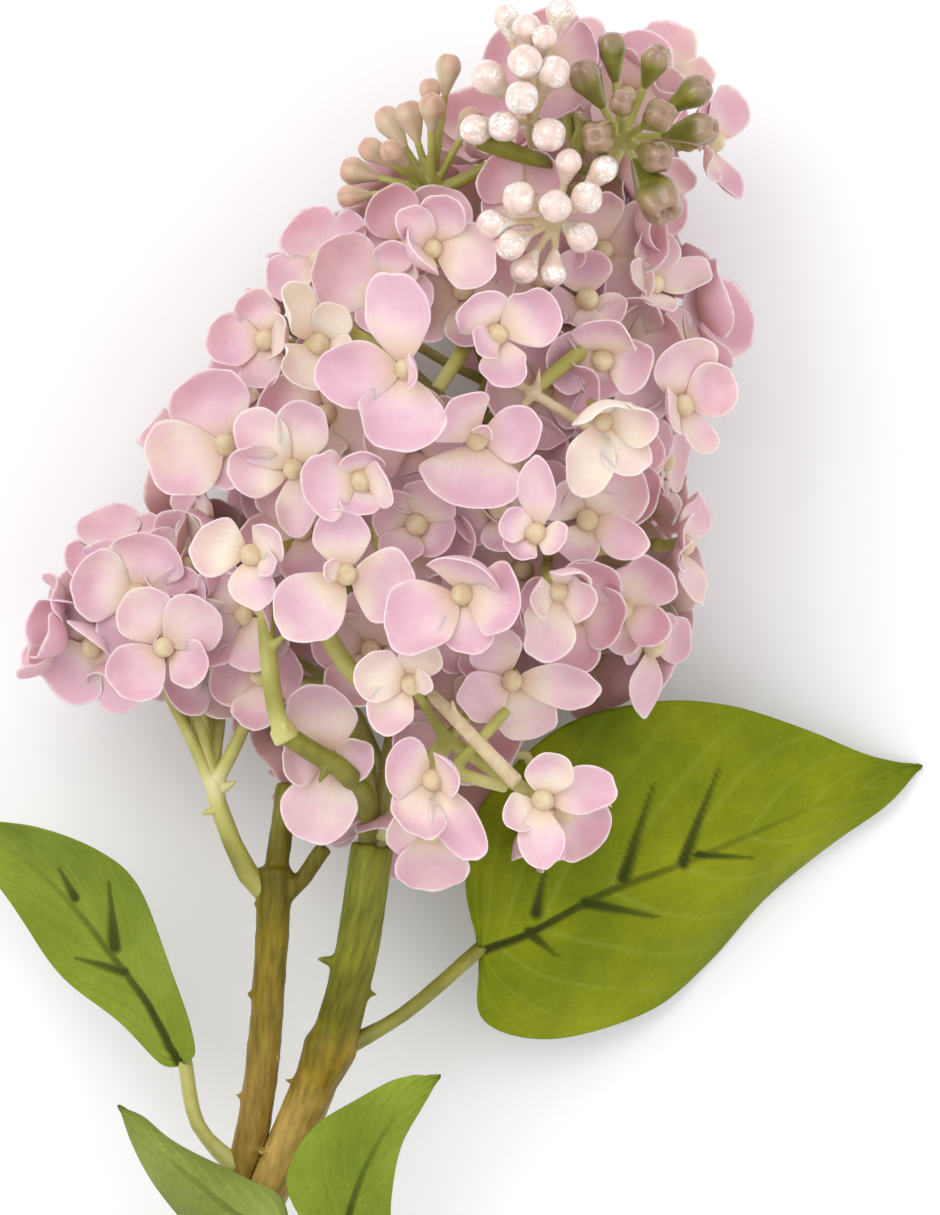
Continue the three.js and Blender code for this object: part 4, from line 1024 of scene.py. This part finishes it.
# ---- The buds ----
# Sprays of closed buds at the top. Two are pearl lacquered and dusted with glitter, one is
# moulded in green with brown tips, and one in peach. Each bud is four folded petals on a stalk.
HALF_OPEN_SIZE = 1.3
HALF_OPEN_FOLD = 0.42
BUD_SIZES = (0.88, 1.08)
BUD_LENGTHS = (0.92, 1.12)
# A bud is slim at its foot, full above its shoulder, drawn to a tail below and dented on top.
BUD_FOOT = 0.42
SHOULDER = 1.9
TAIL_FROM = -0.35
TAIL_DRAW = 1.1
DENT_DEPTH = 1.4
DENT_NARROWNESS = 2.2
# In the frame a bud's tip has six neighbours. Their gaps tell it from other vertices, and
# their distance gives its radius.
BUD_SIDES = 6
BUD_RING = 0.8396
BUD_APEX = 1.0124
BUD_HEIGHT = 1.05
HEAD_REACH = 1.15
HEAD_FLOOR = -0.5
AWAY_SLACK = 0.02
GAP_SLACK = 0.03
# Each spray's plastic, and its buds' size, depth of fold and length against the frame's own.
LOOKS = {
    "buds_pearl_upper": ("pearl_lacquered_pvc", 1.3, 0.08, 1.1),
    "buds_pearl_lower": ("pearl_lacquered_pvc", 1.3, 0.08, 1.1),
    "buds_green": ("green_moulded_pvc", 1.34, 0.3, 1.25),
    "buds_left": ("peach_moulded_pvc", 1.18, 0.16, 1.15),
}


def read_buds(bm):
    """Finds each bud in a merged CAD mesh: its centre, the way that it points and its radius."""
    found = []
    for tip in bm.verts:
        ring = neighbours(tip)
        if len(ring) != BUD_SIDES:
            continue
        away = sum((v.co - tip.co).length for v in ring) / BUD_SIDES
        if any(abs((v.co - tip.co).length / away - 1) > AWAY_SLACK for v in ring):
            continue
        gaps = [sorted((v.co - other.co).length for other in ring if other is not v)[:2] for v in ring]
        if any(abs(gap / away - BUD_RING) > GAP_SLACK for pair in gaps for gap in pair):
            continue
        middle = sum((v.co for v in ring), Vector()) / BUD_SIDES
        radius = away / BUD_APEX
        out = (tip.co - middle).normalized()
        found.append((tip.co - out * BUD_HEIGHT * radius, out, radius))
    return found


def on_head(place, centre, out, radius):
    """Whether a place is on the bud's head and not on its stalk."""
    away = place - centre
    return away.length < HEAD_REACH * radius and away.dot(out) > HEAD_FLOOR * radius


def bud_material(name, stops, tip_colour, sparkle, coat):
    """Moulded PVC with its tip coloured, glitter dusted on where there is any with painted glints, and
    painted shade in its folds.
    """
    plastic, tree, shader = new_material(name, {
        "Roughness": 0.36, "IOR": 1.5, "Coat Weight": coat, "Coat Roughness": 0.12,
        "Subsurface Weight": 0.2, "Subsurface Scale": 1.5 * MM,
    })
    marks = put(tree, "Attribute", attribute_name="on_bud")
    split = put(tree, "SeparateXYZ", {0: marks.outputs["Vector"]})
    own = put(tree, "TexCoord").outputs["Object"]
    cloud = put(tree, "TexNoise", {"Vector": own, "Scale": 1 / (4 * MM), "Detail": 3.0})
    body = put(tree, "ValToRGB", {0: cloud}, stops=stops)
    towards_tip = {0: split.outputs[0], 1: 0.35, 2: 0.95, 4: 0.85}
    tipped = put(tree, "MapRange", towards_tip, interpolation_type="SMOOTHSTEP")
    dip = {0: tipped, 6: body, 7: linear(tip_colour)}
    dipped = put(tree, "Mix", dip, data_type="RGBA")
    # The flakes are 0.2 mm across; they are drawn 0.5 mm across, because finer ones wouldn't show.
    flakes = put(tree, "TexVoronoi", {"Vector": own, "Scale": 1 / (0.5 * MM)})
    lit = put(tree, "SeparateColor", {0: flakes.outputs["Color"]})
    powder = put(tree, "MapRange", {0: cloud, 1: 0.4, 2: 0.62, 4: 0.62})
    shown = put(tree, "Math", {0: lit.outputs[0], 1: powder}, operation="MULTIPLY")
    few = put(tree, "MapRange", {0: shown, 1: 0.2, 2: 0.3, 4: sparkle})
    # The white flakes are the glitter's own colour and also its painted glints.
    glitter_and_glints = {0: few, 6: dipped, 7: linear("#fdfdfb")}
    dusted = put(tree, "Mix", glitter_and_glints, data_type="RGBA")
    # Painted shade: the colour darkens to 0.84 in the fold valleys, where shade falls.
    fold_shade = put(tree, "MapRange", {0: split.outputs[1], 3: 0.84, 4: 1.0})
    fold_shaded = put(tree, "VectorMath", {0: dusted, 3: fold_shade}, operation="SCALE")
    dress(tree, shader, fold_shaded, lit.outputs[1], 0.2 + 0.4 * sparkle, 0.15 * MM)
    return plastic


# Each plastic's body colours, its tip, how much glitter is on it and its coat of lacquer.
BUD_PLASTICS = {
    "pearl_lacquered_pvc": (((0.3, "#ebcdbf"), (0.7, "#e9dcc4")), "#ead2c8", 0.75, 0.9),
    "green_moulded_pvc": (((0.3, "#6d6a16"), (0.7, "#918f36")), "#a27c68", 0.0, 0.7),
    "peach_moulded_pvc": (((0.3, "#d8b29a"), (0.7, "#d2c8a4")), "#c99c86", 0.0, 0.05),
}
bud_looks = {name: bud_material(name, *finish) for name, finish in BUD_PLASTICS.items()}

for name, (look, scale, fold, longer) in LOOKS.items():
    bm = merged_copy(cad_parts[name])
    buds = read_buds(bm)
    cut_off(bm, [vert for vert in bm.verts if any(on_head(vert.co, *bud) for bud in buds)])
    stalk_look = bead_plastic if "pearl" in name else stalk_plastic
    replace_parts(fused_piece(name + "_stalks", bm, stalk_look, "stalks"), name)
    bm = bmesh.new()
    on_bud = bm.verts.layers.float_vector.new("on_bud")
    rng = Random(name)
    lowest = min(buds, key=lambda bud: bud[0].y)[0]
    for centre, out, radius in buds:
        size = radius * scale * rng.uniform(*BUD_SIZES)
        tall = longer * rng.uniform(*BUD_LENGTHS)
        # The lowest green bud is half open: it is wider, and its folds are deep.
        half_open = name == "buds_green" and centre == lowest
        depth = HALF_OPEN_FOLD if half_open else fold
        size *= HALF_OPEN_SIZE if half_open else 1
        spin = Matrix.Rotation(rng.uniform(0, math.tau), 4, "Z")
        verts = bmesh.ops.create_uvsphere(bm, u_segments=16, v_segments=10, radius=1)["verts"]
        for vert in verts:
            x, y, z = vert.co
            angle = math.atan2(y, x)
            wide = math.hypot(x, y)
            high = (z + 1) / 2
            crease = abs(math.sin(2 * angle)) ** 0.6
            pull = 1 - depth * (1 - crease) * min(1, high * 1.4)
            slim = BUD_FOOT + (1 - BUD_FOOT) * min(1, high * SHOULDER)
            tail = min(0, z - TAIL_FROM) * TAIL_DRAW
            dent = -DENT_DEPTH * depth * max(0, 1 - wide * DENT_NARROWNESS) * (z > 0)
            vert.co = Vector((x * pull * slim, y * pull * slim, (z + tail + dent) * tall)) * size
            vert[on_bud] = (high, crease, 0)
        bmesh.ops.transform(bm, matrix=stood(centre, out) @ spin, verts=verts)
    rounded(new_piece(name + "_heads", bm, [bud_looks[look]], "buds"))
